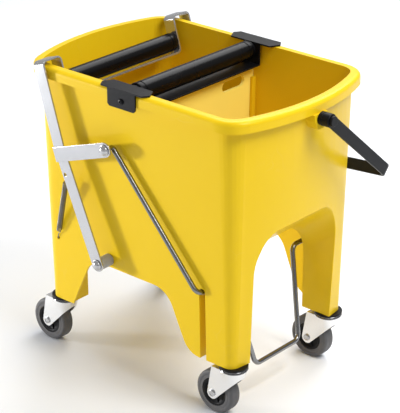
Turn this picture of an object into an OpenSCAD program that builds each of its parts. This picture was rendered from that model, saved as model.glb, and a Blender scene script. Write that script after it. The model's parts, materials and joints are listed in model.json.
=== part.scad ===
// Mop bucket trolley: a moulded tub on four legs and swivel casters, split by a divider,
// with a foot-operated roller wringer over its rim and a carrying bail.
// +X is the pedal end, +Y the side where the bail hangs, the origin is on the floor.

/* [Tub] */
// Length of the rim, over the bowed ends
rim_len = 533; // [500:1:600]
// Width of the rim
rim_w = 355; // [320:1:400]
// Height of the rim above the floor
rim_top = 555; // [520:1:600]
// Radius of the bowed ends of the rim
rim_end_r = 410; // [300:1:600]
// Corner radius of the rim
rim_corner_r = 52; // [42:1:62]
// How far the lip stands out from the wall
lip_over = 13.5; // [10:0.5:18]
// Depth of the turned-down lip
lip_h = 20; // [14:1:26]
// Thickness of the lip
lip_t = 3.5; // [2.5:0.5:5]
// Wall thickness of the tub
wall = 4; // [3:0.5:5]
// Draw-in of each end from the rim to the foot of the legs
end_draft = 41.5; // [34:0.5:50]
// Draw-in of each side from the rim to the foot of the legs
side_draft = 24.5; // [20:0.5:30]
// Width of each leg across the tub
leg_w = 43; // [39:0.5:47]
// Radius of the ends at the foot of the legs
foot_end_r = 1000; // [600:10:2000]
// Corner radius at the foot of the legs
foot_corner_r = 17; // [14:1:24]
// Height of the foot of the legs above the floor
leg_foot = 102; // [98:1:106]

/* [Underside] */
// Height of the underside of the tub's floor
floor_z = 257; // [248:1:264]
// Thickness of the tub's floor
floor_t = 5; // [4:0.5:7]
// Half length of the level part of the floor
well_x = 140; // [130:1:148]
// Height of the end arch where it meets the end wall
end_arch_top = 336; // [320:1:352]
// Corner radius of the end arches
end_arch_r = 50; // [30:1:70]
// Height of the side arches
side_arch_top = 208; // [190:1:212]
// Foot of the side arch towards the far end from the pedal
side_arch_back = 160; // [152:1:162]
// Foot of the side arch towards the pedal
side_arch_front = 117; // [108:1:119]
// Slant of the side arch's jamb away from the pedal
back_lean = 26; // [15:1:32]
// Slant of the side arch's jamb towards the pedal
front_lean = 23.5; // [15:0.5:30]
// Radius of the rounded foot between the side arch and the pedal's slot
arch_foot_r = 38; // [20:1:40]
// Corner radius of the side arches
side_arch_r = 45; // [25:1:55]
// Inner face of the legs away from the pedal
back_leg_x = 164; // [163:1:170]

/* [Divider] */
// Place of the divider and the fixed roller along the tub
wringer_x = -4; // [-10:0.5:6]
// Thickness of the divider
divider_t = 6; // [4:0.5:8]
// Depth of the divider's top edge below the rim
divider_below = 44; // [43:1:60]
// Thickness of a guide rib
rib_t = 5; // [4:0.5:8]
// How far a guide rib stands out from the wall
rib_out = 10; // [7:0.5:14]
// Depth of the top of the guide ribs below the divider's top edge
rib_below = 19; // [10:1:40]
// Length of a hand hole
hand_len = 60; // [50:1:70]
// Height of a hand hole
hand_h = 19; // [14:1:22]
// Distance of a hand hole from the middle of the divider
hand_y = 102; // [90:1:112]
// Depth of the middle of the hand holes below the divider's top edge
hand_below = 20; // [18:1:40]

/* [Casters] */
// Distance of the swivel axes from the ends of the legs
caster_in = 24; // [23.5:0.5:27]
// Diameter of the wheels
wheel_d = 80; // [74:1:84]
// Width of the tyre
tyre_w = 24; // [20:1:26]
// Diameter of the wheel's hub
hub_d = 52; // [44:1:58]
// Trail of the wheel behind the swivel axis
trail = 34; // [28:1:36]
// Diameter of the axle bolt
axle_d = 8; // [6:0.5:10]
// Thickness of the fork's plate
fork_t = 3; // [2:0.5:3.5]
// Radius of the fork's end round the axle
fork_eye_r = 11; // [9:0.5:14]
// Diameter of the swivel race
race_d = 50; // [44:1:54]
// Thickness of the swivel race
race_h = 6; // [4:0.5:7]
// Thickness of the black insert under each leg
insert_t = 4; // [3:0.5:6]
// Clearance of the insert's plug in the leg
plug_clear = 7; // [6.5:0.5:9]
// Depth of the plug
plug_h = 22; // [14:1:30]
// Height of the hollow inside each leg
leg_hollow = 140; // [60:1:150]
// Turn of the far caster away from the pedal, as it stands
far_turn = 60; // [0:5:90]

/* [Yoke] */
// Width of the steel strip
strip_w = 25; // [20:1:28]
// Thickness of the steel strip
strip_t = 3.5; // [2.5:0.5:4]
// Place of the yoke's pivot along the length
pivot_x = -63; // [-74:1:-54]
// Height of the yoke's pivot
pivot_z = 223; // [221:1:226]
// Diameter of the pivot pins
pivot_d = 10; // [8:0.5:12]
// Clearance between the rim and the arms
arm_clear = 6; // [4:0.5:9]
// Lean of the lower arms
lower_lean = 23.4; // [20:0.1:26]
// Lean of the upper arms
upper_lean = 17; // [14:0.5:20]
// Depth of the knee below the rim
knee_below = 135; // [125:1:145]
// Height of the fold above the rim
fold_over = 8.5; // [7:0.5:15]
// Clearance between the tub's wall and the inner legs
inner_clear = 14.5; // [12:0.5:20]
// Depth of the cross strip below the fold over the rim
cross_drop = 66; // [62:0.5:74]
// Bend radius of the strip, inside
strip_bend = 6; // [4:0.5:9]
// Distance of the spring's eye from the pivot, along the arm
spring_eye = 166; // [150:1:175]
// Distance of the spring's eye from the middle of the arm, towards its back edge
spring_off = 6; // [0:0.5:7]

/* [Rollers] */
// Diameter of the rollers
roller_d = 34; // [28:0.5:38]
// Wall of the roller tube
roller_wall = 5; // [3:0.5:6]
// Diameter of the roller axles
roller_axle_d = 10; // [8:0.5:12]
// Height of the moving roller above the yoke's cross strip
roller_lift = 21; // [20:0.5:26]
// Depth of the fixed roller's axle below the rim
fixed_below = 12; // [9:0.5:16]
// Clearance between the tub's wall and the fixed frame's webs
web_clear = 7; // [6:0.5:12]
// Gap between a roller's end and the plate beside it
end_gap = 6; // [4:0.5:9]

/* [Fixed frame] */
// Thickness of the frame's plate
plate_t = 3; // [2:0.5:4]
// Length of the plate that rests on the rim
rest_len = 108; // [90:1:130]
// Width of the flap outside the rim
flap_w = 63; // [50:1:75]
// Depth of the flap outside the rim
flap_h = 34; // [28:1:40]
// Reach of the webs and the cross plate towards the pedal
web_front = 22; // [19:0.5:26]
// Reach of the webs and the cross plate away from the pedal
web_back = 15; // [13:0.5:18]
// Depth of the cross plate's underside below the rim
cross_below = 39; // [36:0.5:41]
// Diameter of the frame's screws
screw_d = 6; // [5:0.5:8]

/* [Pedal] */
// Diameter of the pedal rod
rod_d = 9; // [7:0.5:10]
// Bend radius of the pedal rod
rod_bend = 14; // [10:1:18]
// Length of the link from the arm to the rod's eye
link_len = 114; // [104:0.5:120]
// Distance of the link below the knee, along the arm
link_below = 11.7; // [9:0.1:20]
// Rise of the link above level
link_rise = 18.9; // [15:0.1:24]
// Width of the link
link_w = 26; // [22:1:30]
// Reach of the link past the middle of the arm
link_tail = 13; // [8:0.5:16]
// Place of the rod's elbow along the length
elbow_x = 151; // [149:0.5:153]
// Height of the rod's elbow
elbow_z = 230; // [226:0.5:234]
// Clearance between the tub's wall and the rod's elbow
elbow_clear = 6.5; // [4:0.5:10]
// Distance of the rod's upper end inside the face of the link
rod_in = 12; // [4:0.5:14]
// Distance of the stirrup's shoulders from the middle
shoulder_y = 86; // [78:0.5:92]
// Place of the foot bar along the length
foot_bar_x = 190; // [184:0.5:196]
// Half length of the foot bar
foot_bar_y = 60; // [52:0.5:62]
// Height of the foot bar
foot_bar_z = 67; // [64:0.5:74]
// Clearance of the rod in the legs' guide slots, each side
slot_play = 2.2; // [2:0.1:3]
// Depth of the guide beside each slot, inside the tub's wall
guide_in = 16; // [8:0.5:20]
// Diameter of the domed caps
cap_d = 20; // [17:0.5:23]
// Height of the domed caps
cap_h = 7; // [5:0.5:9]

/* [Springs] */
// Diameter of the spring wire
wire_d = 1.6; // [1.2:0.1:1.8]
// Mean diameter of the coil
coil_d = 8.4; // [7:0.1:10]
// Turns of each spring
turns = 42; // [30:1:44]
// Length of the coil
coil_len = 118; // [110:1:122]
// Place of the spring's wall eye along the length
spring_x = -189; // [-194:1:-184]
// Height of the spring's wall eye
spring_z = 226; // [220:1:232]

/* [Bail] */
// Depth of the bail's pivots below the rim
bail_below = 28; // [26:0.5:31]
// Length of the bail's arms
bail_arm = 218; // [208:1:228]
// Reach of the grip from the pivots
bail_reach = 258; // [250:1:280]
// Half length of the straight grip
grip_x = 150; // [120:1:180]
// Width of the bail's strap
bail_w = 21; // [17:0.5:24]
// Thickness of the bail's strap
bail_t = 6; // [5:0.5:8]
// How far the bail's lug stands out past the rim
lug_out = 4; // [2:0.5:8]
// Width of the lug under the lip that holds the bail's pin
lug_w = 34; // [28:1:44]
// Diameter of the bail's eyes
bail_eye_d = 28; // [25:0.5:30]
// Length of the bail's eyes along their pins
bail_eye_t = 22; // [16:0.5:26]
// Diameter of the bail's pins
bail_pin_d = 10; // [8:0.5:12]
// Depth of the bail's pins in the lugs
pin_in = 14; // [12:0.5:16]

/* [Fits] */
// Clearance of a pin or shaft in its bore
fit = 0.2; // [0.1:0.05:0.4]
// Clearance between faces that slide past each other
gap = 0.3; // [0.2:0.05:0.5]

/* [Hidden] */
$fn = 48;

// Colours
yellow = "gold";
black = "#2b2b2e";
zinc = "silver";
grey = "gray";

// Long cuts that pass right through, and a margin past a face
through = 2 * rim_len;
past = 1;

// Wall of the tub under the lip
foot_len = rim_len - 2 * end_draft;
foot_w = rim_w - 2 * side_draft;
end_arch_w = foot_w - 2 * leg_w;
wall_len = rim_len - 2 * lip_over;
wall_w = rim_w - 2 * lip_over;
body_h = rim_top - leg_foot;
floor_top = floor_z + floor_t;
arch_x = foot_len / 2 + 10;
roof_slope = (end_arch_top - floor_z) / (arch_x - well_x);
roof_angle = atan(roof_slope);
slot_w = rod_d + 2 * slot_play;
front_leg_x = elbow_x + slot_w / 2;
slot_top = elbow_z + rod_d / 2 + slot_play;
divider_top = rim_top - divider_below;
rib_top = divider_top - rib_below;
hand_z = divider_top - hand_below;

// Wringer
arm_y = rim_w / 2 + arm_clear + strip_t;
inner_y = wall_w / 2 - wall - inner_clear - strip_t;
web_y = wall_w / 2 - wall - web_clear - plate_t;
fixed_z = rim_top - fixed_below;
cross_z = rim_top - cross_below;
lower_len = (rim_top - knee_below - pivot_z) / cos(lower_lean);
link_at = lower_len - link_below;
knee = [pivot_x - lower_len * sin(lower_lean), pivot_z + lower_len * cos(lower_lean)];
upper_len = (rim_top + fold_over - knee[1]) / cos(upper_lean);
fold_y = arm_y - strip_t / 2;
cross_h = upper_len - cross_drop;
roller_h = cross_h + roller_lift;
moving_at = knee + roller_h * [-sin(upper_lean), cos(upper_lean)];
link_foot = [pivot_x - link_at * sin(lower_lean), pivot_z + link_at * cos(lower_lean)];
link_eye = link_foot + link_len * [cos(link_rise), sin(link_rise)];
spring_at = [pivot_x, pivot_z] + spring_eye * [-sin(lower_lean), cos(lower_lean)]
    - spring_off * [cos(lower_lean), sin(lower_lean)];
axle_nut_h = 5;
cap_roof = 2;
axle_nut_d = 17;

// Casters
caster_x = foot_len / 2 - caster_in;
caster_y = (foot_w - leg_w) / 2;
plug_d = leg_w - 2 * wall - 2 * plug_clear;
wheel_r = wheel_d / 2;
race_z = leg_foot - insert_t - race_h;
crown_z = race_z - gap;
fork_in = tyre_w / 2 + 1.5;
bolt_head_h = 3;

// Bail
bail_z = rim_top - bail_below;
lug_x = rim_len / 2 + lug_out;
bail_x = lug_x + gap;
// Angle of the bail below level, where its strap rests on the yoke's arm, or on the link if met first
grip_in = bail_reach - bail_t / 2;
function drop_on(y) = acos((y + gap) / norm([grip_in, bail_w / 2])) - atan2(bail_w / 2, grip_in);
function strap_low(a) = bail_z - grip_in * sin(a) - bail_w / 2 * cos(a);
link_low = link_foot[1] - link_tail * sin(link_rise) - link_w / 2 * cos(link_rise);
arm_drop = drop_on(arm_y);
bail_drop = strap_low(arm_drop) + strip_t / tan(arm_drop) < link_low ? arm_drop : drop_on(arm_y + strip_t);

// Vector helpers
function unit(v) = v / norm(v);
function left(v) = [-v[1], v[0]];
function mid(list) = [for (i = [1:1:len(list) - 2]) i];
function backwards(list) = [for (i = [len(list) - 1:-1:0]) list[i]];

// Points of an arc about c, from angle a0 to a1
function arc(c, r, a0, a1, n) = [for (i = [0:n]) let (a = a0 + (a1 - a0) * i / n) c + r * [cos(a), sin(a)]];

// One corner of a line of points, turned into an arc of radius r
function bend(a, b, c, r, n) =
    let (
        u = unit(a - b),
        v = unit(c - b),
        half = acos(u * v) / 2,
        run = r / tan(half),
        centre = b + unit(u + v) * r / sin(half),
        s = b + u * run - centre,
        e = b + v * run - centre,
        sweep = 180 - 2 * half
    )
    [for (i = [0:n]) let (k = i / n) centre + (s * sin((1 - k) * sweep) + e * sin(k * sweep)) / sin(sweep)];

// A line of points with its inner corners rounded
function rounded(p, r, n) = concat(
    [p[0]], [for (i = mid(p)) each bend(p[i - 1], p[i], p[i + 1], r, n)], [p[len(p) - 1]]);

// A flat line of points moved sideways by d, with mitred corners
function shifted(p, d) = [for (i = [0:len(p) - 1])
    let (
        a = left(unit(p[max(i, 1)] - p[max(i, 1) - 1])),
        b = left(unit(p[min(i, len(p) - 2) + 1] - p[min(i, len(p) - 2)]))
    )
    p[i] + d * (a + b) / (1 + a * b)];

// Plan of the tub at one level: straight sides, bowed ends and round corners
function plan_points(len, w, end_r, corner_r) =
    let (
        end_c = len / 2 - end_r,
        cy = w / 2 - corner_r,
        cx = end_c + sqrt(pow(end_r - corner_r, 2) - cy * cy),
        a = atan2(cy, cx - end_c),
        side = concat(
            arc([cx, -cy], corner_r, -90, -a - 1, 6),
            arc([end_c, 0], end_r, -a, a, 14),
            arc([cx, cy], corner_r, a + 1, 90, 6))
    )
    concat(side, [for (p = side) -p]);

// Inner half width of the tub's side wall at height z
function inner_w(z) = (foot_w + (wall_w - foot_w) * (z - leg_foot) / body_h) / 2 - wall;

// Swept round tube: directions along the path, a carried normal, then rings of points
function directions(p) = [for (i = [0:len(p) - 1]) unit(p[min(i + 1, len(p) - 1)] - p[max(i - 1, 0)])];
function across(t) = unit(cross(t, abs(t[0]) < 0.9 ? [1, 0, 0] : [0, 0, 1]));
function level(n, t) = unit(n - t * (n * t));
function carried(t) = [
    for (i = 0, n = across(t[0]); i < len(t); i = i + 1, n = level(n, t[min(i, len(t) - 1)])) n];
function rings(p, r, sides) =
    let (t = directions(p), n = carried(t))
    [for (i = [0:len(p) - 1]) for (k = [0:sides - 1])
        let (a = 360 * k / sides) p[i] + r * (cos(a) * n[i] + sin(a) * cross(t[i], n[i]))];

module swept(p, r, sides) {
    last = len(p) - 1;
    walls = [for (i = [0:last - 1]) for (k = [0:sides - 1])
        let (a = i * sides + k, b = i * sides + (k + 1) % sides)
        each [[a, a + sides, b], [b, a + sides, b + sides]]];
    caps = [for (k = [1:sides - 2])
        each [[0, k, k + 1], [last * sides, last * sides + k + 1, last * sides + k]]];
    polyhedron(rings(p, r, sides), concat(walls, caps));
}

// A profile drawn in Y and Z, carried along X
module along_x(len) rotate([90, 0, 90]) linear_extrude(len, center = true) children();
// A profile drawn in X and Z, carried along Y
module along_y(len) rotate([90, 0, 0]) linear_extrude(len, center = true) children();
// A round bar or bore along X or Y
module rod_x(d, len) rotate([0, 90, 0]) cylinder(d = d, h = len, center = true);
module rod_y(d, len) rotate([90, 0, 0]) cylinder(d = d, h = len, center = true);
// The same thing on both long sides, or on both ends
module both_sides() for (s = [0, 1]) mirror([0, s, 0]) children();
module both_ends() for (s = [0, 1]) mirror([s, 0, 0]) children();

// Tub

function wall_points(inset) = plan_points(
    wall_len - 2 * inset, wall_w - 2 * inset, rim_end_r - lip_over - inset, rim_corner_r - lip_over - inset);
function foot_points(inset) = plan_points(
    foot_len - 2 * inset, foot_w - 2 * inset, foot_end_r - inset, foot_corner_r - inset);
module rim_plan(inset) polygon(plan_points(
    rim_len - 2 * inset, rim_w - 2 * inset, rim_end_r - inset, rim_corner_r - inset));

// Plan of the drafted body at height z, drawn in by inset
function body_points(inset, z) =
    let (a = foot_points(inset), b = wall_points(inset), k = (z - leg_foot) / body_h)
    [for (i = [0:len(a) - 1]) let (p = a[i] + (b[i] - a[i]) * k) [p[0], p[1], z]];

// The drafted body, drawn in by inset and carried past both ends by over
module drafted(inset, over) {
    low = body_points(inset, leg_foot - over);
    high = body_points(inset, rim_top + over);
    n = len(low);
    polyhedron(concat(low, high), concat(
        [for (i = [0:n - 1]) let (j = (i + 1) % n) each [[i, n + i, j], [j, n + i, n + j]]],
        [[for (i = [0:n - 1]) i], [for (i = [n - 1:-1:0]) n + i]]));
}

// Height of the roof over the end arches at x, raised by up
function roof(x, up) = floor_z + up + roof_slope * (x - well_x);

module cavity() intersection() {
    drafted(wall, past);
    along_y(through) polygon([
        [-well_x, floor_top], [well_x, floor_top],
        [through, roof(through, floor_t / cos(roof_angle))], [through, rim_top + through],
        [-through, rim_top + through], [-through, roof(through, floor_t / cos(roof_angle))]]);
}

module hollow_below() intersection() {
    drafted(wall, past);
    along_y(through) polygon([
        [-back_leg_x, 0], [front_leg_x, 0], [front_leg_x, roof(front_leg_x, 0)],
        [well_x, floor_z], [-well_x, floor_z], [-back_leg_x, roof(back_leg_x, 0)]]);
}

module end_arch(leg_x) intersection() {
    translate([well_x, 0, floor_z]) rotate([0, -roof_angle, 0]) along_x(through * 2) {
        translate([-end_arch_w / 2, -through]) square([end_arch_w, through - end_arch_r]);
        translate([-end_arch_w / 2 + end_arch_r, -through])
            square([end_arch_w - 2 * end_arch_r, through]);
        for (s = [-1, 1]) translate([s * (end_arch_w / 2 - end_arch_r), -end_arch_r]) circle(end_arch_r);
    }
    translate([leg_x - past, -through / 2, 0]) cube([through, through, rim_top - lip_h]);
}

// Round top of a side arch over a jamb that leans in from its foot
function arch_top(foot, lean) =
    let (
        rise = side_arch_top - side_arch_r - leg_foot,
        cx = foot - (side_arch_r + rise * sin(lean)) / cos(lean)
    )
    arc([cx, side_arch_top - side_arch_r], side_arch_r, lean, 90, 8);

// Side arch, with a round foot towards the pedal and a plain one at the back
foot_run = arch_foot_r * tan(45 - front_lean / 2);
module side_arch() along_y(through) polygon(concat(
    [[side_arch_front + foot_run, leg_foot - past]],
    arc([side_arch_front + foot_run, leg_foot + arch_foot_r], arch_foot_r, 270, 180 + front_lean, 6),
    arch_top(side_arch_front, front_lean),
    [for (p = backwards(arch_top(side_arch_back, back_lean))) [-p[0], p[1]]],
    [[-side_arch_back - past * tan(back_lean), leg_foot - past]]));

// Hollow of one leg, open at the foot where the insert's plug goes in
module leg_core(leg_x) intersection() {
    drafted(wall, past);
    translate([leg_x + wall, end_arch_w / 2 + wall, 0]) cube([through, through, leg_foot + leg_hollow]);
}

module guide_slot() translate([elbow_x, wall_w / 2 - foot_w / 8, 0]) {
    translate([-slot_w / 2, 0, 0]) cube([slot_w, foot_w / 4, slot_top - slot_w / 2]);
    translate([0, foot_w / 8, slot_top - slot_w / 2]) rod_y(slot_w, foot_w / 4);
}

// Web inside the skirt that guides the pedal's rod beside each slot
module slot_guides() both_sides() translate([elbow_x - slot_w / 2 - wall / 2, 0, 0]) along_x(wall)
    let (top = slot_top + wall) polygon([
        [inner_w(leg_foot) - guide_in, leg_foot], [inner_w(leg_foot) + wall / 2, leg_foot],
        [inner_w(top) + wall / 2, top], [inner_w(top) - guide_in, top]]);

module guide_ribs() translate([wringer_x, 0, 0]) both_sides() both_ends()
    translate([divider_t / 2 + gap + rib_t / 2, 0, 0]) along_x(rib_t) polygon([
        [inner_w(floor_z) - rib_out, floor_z], [inner_w(floor_z) + wall / 2, floor_z],
        [inner_w(rib_top) + wall / 2, rib_top], [inner_w(rib_top) - rib_out, rib_top]]);

module lip() difference() {
    union() {
        translate([0, 0, rim_top - lip_t]) linear_extrude(lip_t) rim_plan(0);
        translate([0, 0, rim_top - lip_h]) linear_extrude(lip_h) difference() {
            rim_plan(0);
            rim_plan(lip_t);
        }
    }
    cavity();
}

// Gusset under the lip that carries the bail's pin
module bail_lug() difference() {
    union() {
        along_x(rim_len - lip_t) polygon([
            [-lug_w / 2, rim_top - lip_t / 2], [lug_w / 2, rim_top - lip_t / 2],
            [lug_w / 2, bail_z], [-lug_w / 2, bail_z]]);
        along_x(2 * lug_x) polygon([
            [-lug_w / 2, rim_top - lip_h], [lug_w / 2, rim_top - lip_h],
            [lug_w / 2, bail_z], [bail_pin_d / 2 + wall / 2, bail_z - lug_w / 2 - wall / 2],
            [-bail_pin_d / 2 - wall / 2, bail_z - lug_w / 2 - wall / 2], [-lug_w / 2, bail_z]]);
    }
    drafted(wall / 2, past);
}

module tub_body() color(yellow) difference() {
    union() {
        difference() {
            union() {
                difference() {
                    drafted(0, 0);
                    cavity();
                }
                lip();
                guide_ribs();
                bail_lug();
            }
            hollow_below();
            end_arch(front_leg_x);
            mirror([1, 0, 0]) end_arch(back_leg_x);
        }
        slot_guides();
    }
    side_arch();
    both_sides() guide_slot();
    translate([pivot_x, 0, pivot_z]) rod_y(pivot_d + 2 * fit, through);
    both_sides() translate([spring_x, foot_w / 2, spring_z]) rod_y(4 * wire_d, 16);
    both_sides() translate([wringer_x, rim_w / 2, rim_top - flap_h / 2]) rod_y(screw_d + 2 * fit, 16);
    both_ends() translate([lug_x, 0, bail_z]) rod_x(bail_pin_d + 2 * fit, 2 * (pin_in + gap));
    both_sides() {
        leg_core(front_leg_x);
        mirror([1, 0, 0]) leg_core(back_leg_x);
    }
}

// Divider

module divider_panel() color(yellow) translate([wringer_x, 0, 0]) along_x(divider_t) difference() {
    polygon([
        [-inner_w(floor_top) + past, floor_top + gap], [inner_w(floor_top) - past, floor_top + gap],
        [inner_w(divider_top) - past, divider_top], [-inner_w(divider_top) + past, divider_top]]);
    for (s = [-1, 1]) translate([s * hand_y, hand_z]) {
        square([hand_len - hand_h, hand_h], center = true);
        for (e = [-1, 1]) translate([e * (hand_len - hand_h) / 2, 0]) circle(d = hand_h);
    }
}

// Fixed roller and its frame

module frame_side() {
    outer = rim_w / 2 + gap;
    translate([0, 0, rim_top + gap]) linear_extrude(plate_t) polygon([
        [-rest_len / 2, outer - 9], [-rest_len / 2 + 8, outer + plate_t],
        [rest_len / 2 - 8, outer + plate_t], [rest_len / 2, outer - 9],
        [rest_len / 2 - 10, web_y], [-rest_len / 2 + 10, web_y]]);
    translate([0, outer + plate_t / 2, rim_top + gap + plate_t - flap_h / 2]) difference() {
        cube([flap_w, plate_t, flap_h], center = true);
        for (s = [-1, 1]) translate([s * flap_w / 2, 0, -flap_h / 2])
            rotate([0, 45, 0]) cube([6, plate_t + past, 6], center = true);
        translate([0, 0, flap_h / 2 - plate_t - gap - flap_h / 2]) rod_y(screw_d + 2 * fit, 3 * plate_t);
    }
    translate([(web_front - web_back) / 2, web_y + plate_t / 2, (cross_z + rim_top + gap + plate_t) / 2])
        difference() {
            cube([web_front + web_back, plate_t, rim_top + gap + plate_t - cross_z], center = true);
            translate([-(web_front - web_back) / 2, 0, fixed_z - (cross_z + rim_top + gap + plate_t) / 2])
                rod_y(roller_axle_d + 2 * fit, 3 * plate_t);
        }
}

module fixed_frame() color(black) translate([wringer_x, 0, 0]) {
    both_sides() frame_side();
    translate([-web_back, -web_y - past, cross_z]) cube([web_front + web_back, 2 * (web_y + past), plate_t]);
}

module frame_screws() color(black) both_sides()
    translate([wringer_x, rim_w / 2 + gap + plate_t, rim_top - flap_h / 2]) {
        translate([0, 1.5, 0]) rod_y(screw_d * 1.7, 3);
        translate([0, -5, 0]) rod_y(screw_d, 10);
    }

module axle(at, half) color(zinc) translate([at[0], 0, at[1]]) rod_y(roller_axle_d, 2 * half);

module axle_nuts(at, face) color(zinc) both_sides() translate([at[0], face + axle_nut_h / 2, at[1]])
    difference() {
        rotate([90, 0, 0]) cylinder(d = axle_nut_d, h = axle_nut_h, center = true, $fn = 6);
        rod_y(roller_axle_d + fit / 2, 2 * axle_nut_h);
    }

module roller(at, face) color(black) translate([at[0], 0, at[1]]) difference() {
    rod_y(roller_d, 2 * (face - end_gap));
    rod_y(roller_d - 2 * roller_wall, through);
}

module bushes(at, face) color(black) both_sides() translate([at[0], 0, at[1]]) {
    seat = roller_d - 2 * roller_wall - fit / 2;
    difference() {
        union() {
            translate([0, face - end_gap - 9, 0]) rod_y(seat, 18);
            translate([0, face - (end_gap + gap) / 2, 0]) rod_y(seat + 4, end_gap - gap);
        }
        translate([0, face, 0]) rod_y(roller_axle_d + 2 * fit, through / 4);
    }
}

fixed_at = [wringer_x, fixed_z];
module fixed_axle() axle(fixed_at, web_y + plate_t + axle_nut_h);
module fixed_axle_nuts() axle_nuts(fixed_at, web_y + plate_t);
module fixed_roller() roller(fixed_at, web_y);
module fixed_bushes() bushes(fixed_at, web_y);

module moving_axle() axle(moving_at, inner_y + strip_t + axle_nut_h);
module moving_axle_nuts() axle_nuts(moving_at, inner_y + strip_t);
module moving_roller() roller(moving_at, inner_y);
module moving_bushes() bushes(moving_at, inner_y);

// Yoke, links and pivots

module yoke_strip() color(zinc) difference() {
    inner = inner_y + strip_t / 2;
    path = [[-fold_y, 0], [-fold_y, upper_len], [-inner, upper_len], [-inner, cross_h],
        [inner, cross_h], [inner, upper_len], [fold_y, upper_len], [fold_y, 0]];
    union() {
        translate([knee[0], 0, knee[1]]) rotate([0, -upper_lean, 0]) along_x(strip_w) polygon(concat(
            rounded_strip(path, strip_t / 2), backwards(rounded_strip(path, -strip_t / 2))));
        both_sides() translate([pivot_x, fold_y, pivot_z]) rotate([0, -lower_lean, 0]) {
            translate([-strip_w / 2, -strip_t / 2, 0]) cube([strip_w, strip_t, lower_len]);
            rod_y(strip_w, strip_t);
            translate([0, 0, lower_len]) rod_y(strip_w, strip_t);
        }
    }
    translate([pivot_x, 0, pivot_z]) rod_y(pivot_d + 2 * fit, through);
    translate([moving_at[0], 0, moving_at[1]]) rod_y(roller_axle_d + 2 * fit, 2 * (inner_y + 2 * strip_t));
    translate([spring_at[0], 0, spring_at[1]]) rod_y(4 * wire_d, through);
}

// The strip's centre line moved sideways by d, its bends kept concentric on either hand
function turns_left(a, b, c) = left(b - a) * (c - b) > 0;
function rounded_strip(p, d) =
    let (q = shifted(p, d), r = strip_bend + strip_t / 2)
    concat([q[0]],
        [for (i = mid(p)) each bend(q[i - 1], q[i], q[i + 1],
            turns_left(p[i - 1], p[i], p[i + 1]) ? r - d : r + d, 6)],
        [q[len(q) - 1]]);

module link() color(zinc) translate([link_foot[0], -arm_y - strip_t / 2, link_foot[1]])
    rotate([0, -link_rise, 0])
        difference() {
            union() {
                translate([(link_len - link_tail) / 2, 0, 0])
                    cube([link_len + link_tail, strip_t, link_w], center = true);
                translate([link_len, 0, 0]) rod_y(link_w, strip_t);
            }
            translate([link_len, 0, 0]) rod_y(rod_d + 2 * fit, through);
        }
module link_near() link();
module link_far() mirror([0, 1, 0]) link();

wall_at_pivot = inner_w(pivot_z) + wall;
module pivot_pins() color(zinc) both_sides() translate([pivot_x, 0, pivot_z])
    translate([0, (wall_at_pivot - 16 + arm_y + cap_h - cap_roof) / 2, 0])
        rod_y(pivot_d, arm_y + cap_h - cap_roof - wall_at_pivot + 16);

module pivot_spacers() color(grey) both_sides() translate([pivot_x, 0, pivot_z]) difference() {
    inner = wall_at_pivot + gap;
    outer = arm_y - strip_t - gap;
    translate([0, (inner + outer) / 2, 0]) rod_y(2 * pivot_d + 2, outer - inner);
    rod_y(pivot_d + fit / 2, through);
}

// Domed cap pushed on the end of a pin that stands out from the face at y
module domed_cap(at, y, d) color(zinc) translate([at[0], y + gap, at[1]]) rotate([-90, 0, 0]) difference() {
    r = (pow(cap_d / 2, 2) + pow(cap_h, 2)) / (2 * cap_h);
    intersection() {
        cylinder(d = cap_d, h = cap_h);
        translate([0, 0, cap_h - r]) sphere(r);
    }
    translate([0, 0, -past]) cylinder(d = d + fit / 2, h = cap_h - cap_roof + past);
}

module pivot_caps() both_sides() domed_cap([pivot_x, pivot_z], arm_y, pivot_d);

module pivot_nuts() color(zinc) both_sides() translate([pivot_x, wall_at_pivot - wall - 5, pivot_z])
    difference() {
        rotate([90, 0, 0]) cylinder(d = axle_nut_d, h = 7, center = true, $fn = 6);
        rod_y(pivot_d + fit / 2, through / 8);
    }

// Pedal

rod_y_top = arm_y - rod_d / 2 - rod_in;
elbow_y = inner_w(elbow_z) + wall + rod_d / 2 + elbow_clear;
rod_path = [
    [link_eye[0], arm_y + strip_t + cap_h - cap_roof, link_eye[1]], [link_eye[0], rod_y_top, link_eye[1]],
    [elbow_x, elbow_y, elbow_z], [elbow_x, shoulder_y, elbow_z], [foot_bar_x, foot_bar_y, foot_bar_z]];
near_side = [for (p = rod_path) [p[0], -p[1], p[2]]];

module pedal_stirrup() color(zinc) swept(concat(
    [rod_path[0]], bend(rod_path[0], rod_path[1], rod_path[2], rod_d / 2, 5),
    [for (i = [2:3]) each bend(rod_path[i - 1], rod_path[i], rod_path[i + 1], rod_bend, 6)],
    bend(rod_path[3], rod_path[4], near_side[4], rod_bend, 6),
    bend(rod_path[4], near_side[4], near_side[3], rod_bend, 6),
    [for (i = [3:-1:2]) each bend(near_side[i + 1], near_side[i], near_side[i - 1], rod_bend, 6)],
    bend(near_side[2], near_side[1], near_side[0], rod_d / 2, 5), [near_side[0]]), rod_d / 2, 16);

module pedal_caps() both_sides() domed_cap(link_eye, arm_y + strip_t, rod_d);

// Return springs

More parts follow.
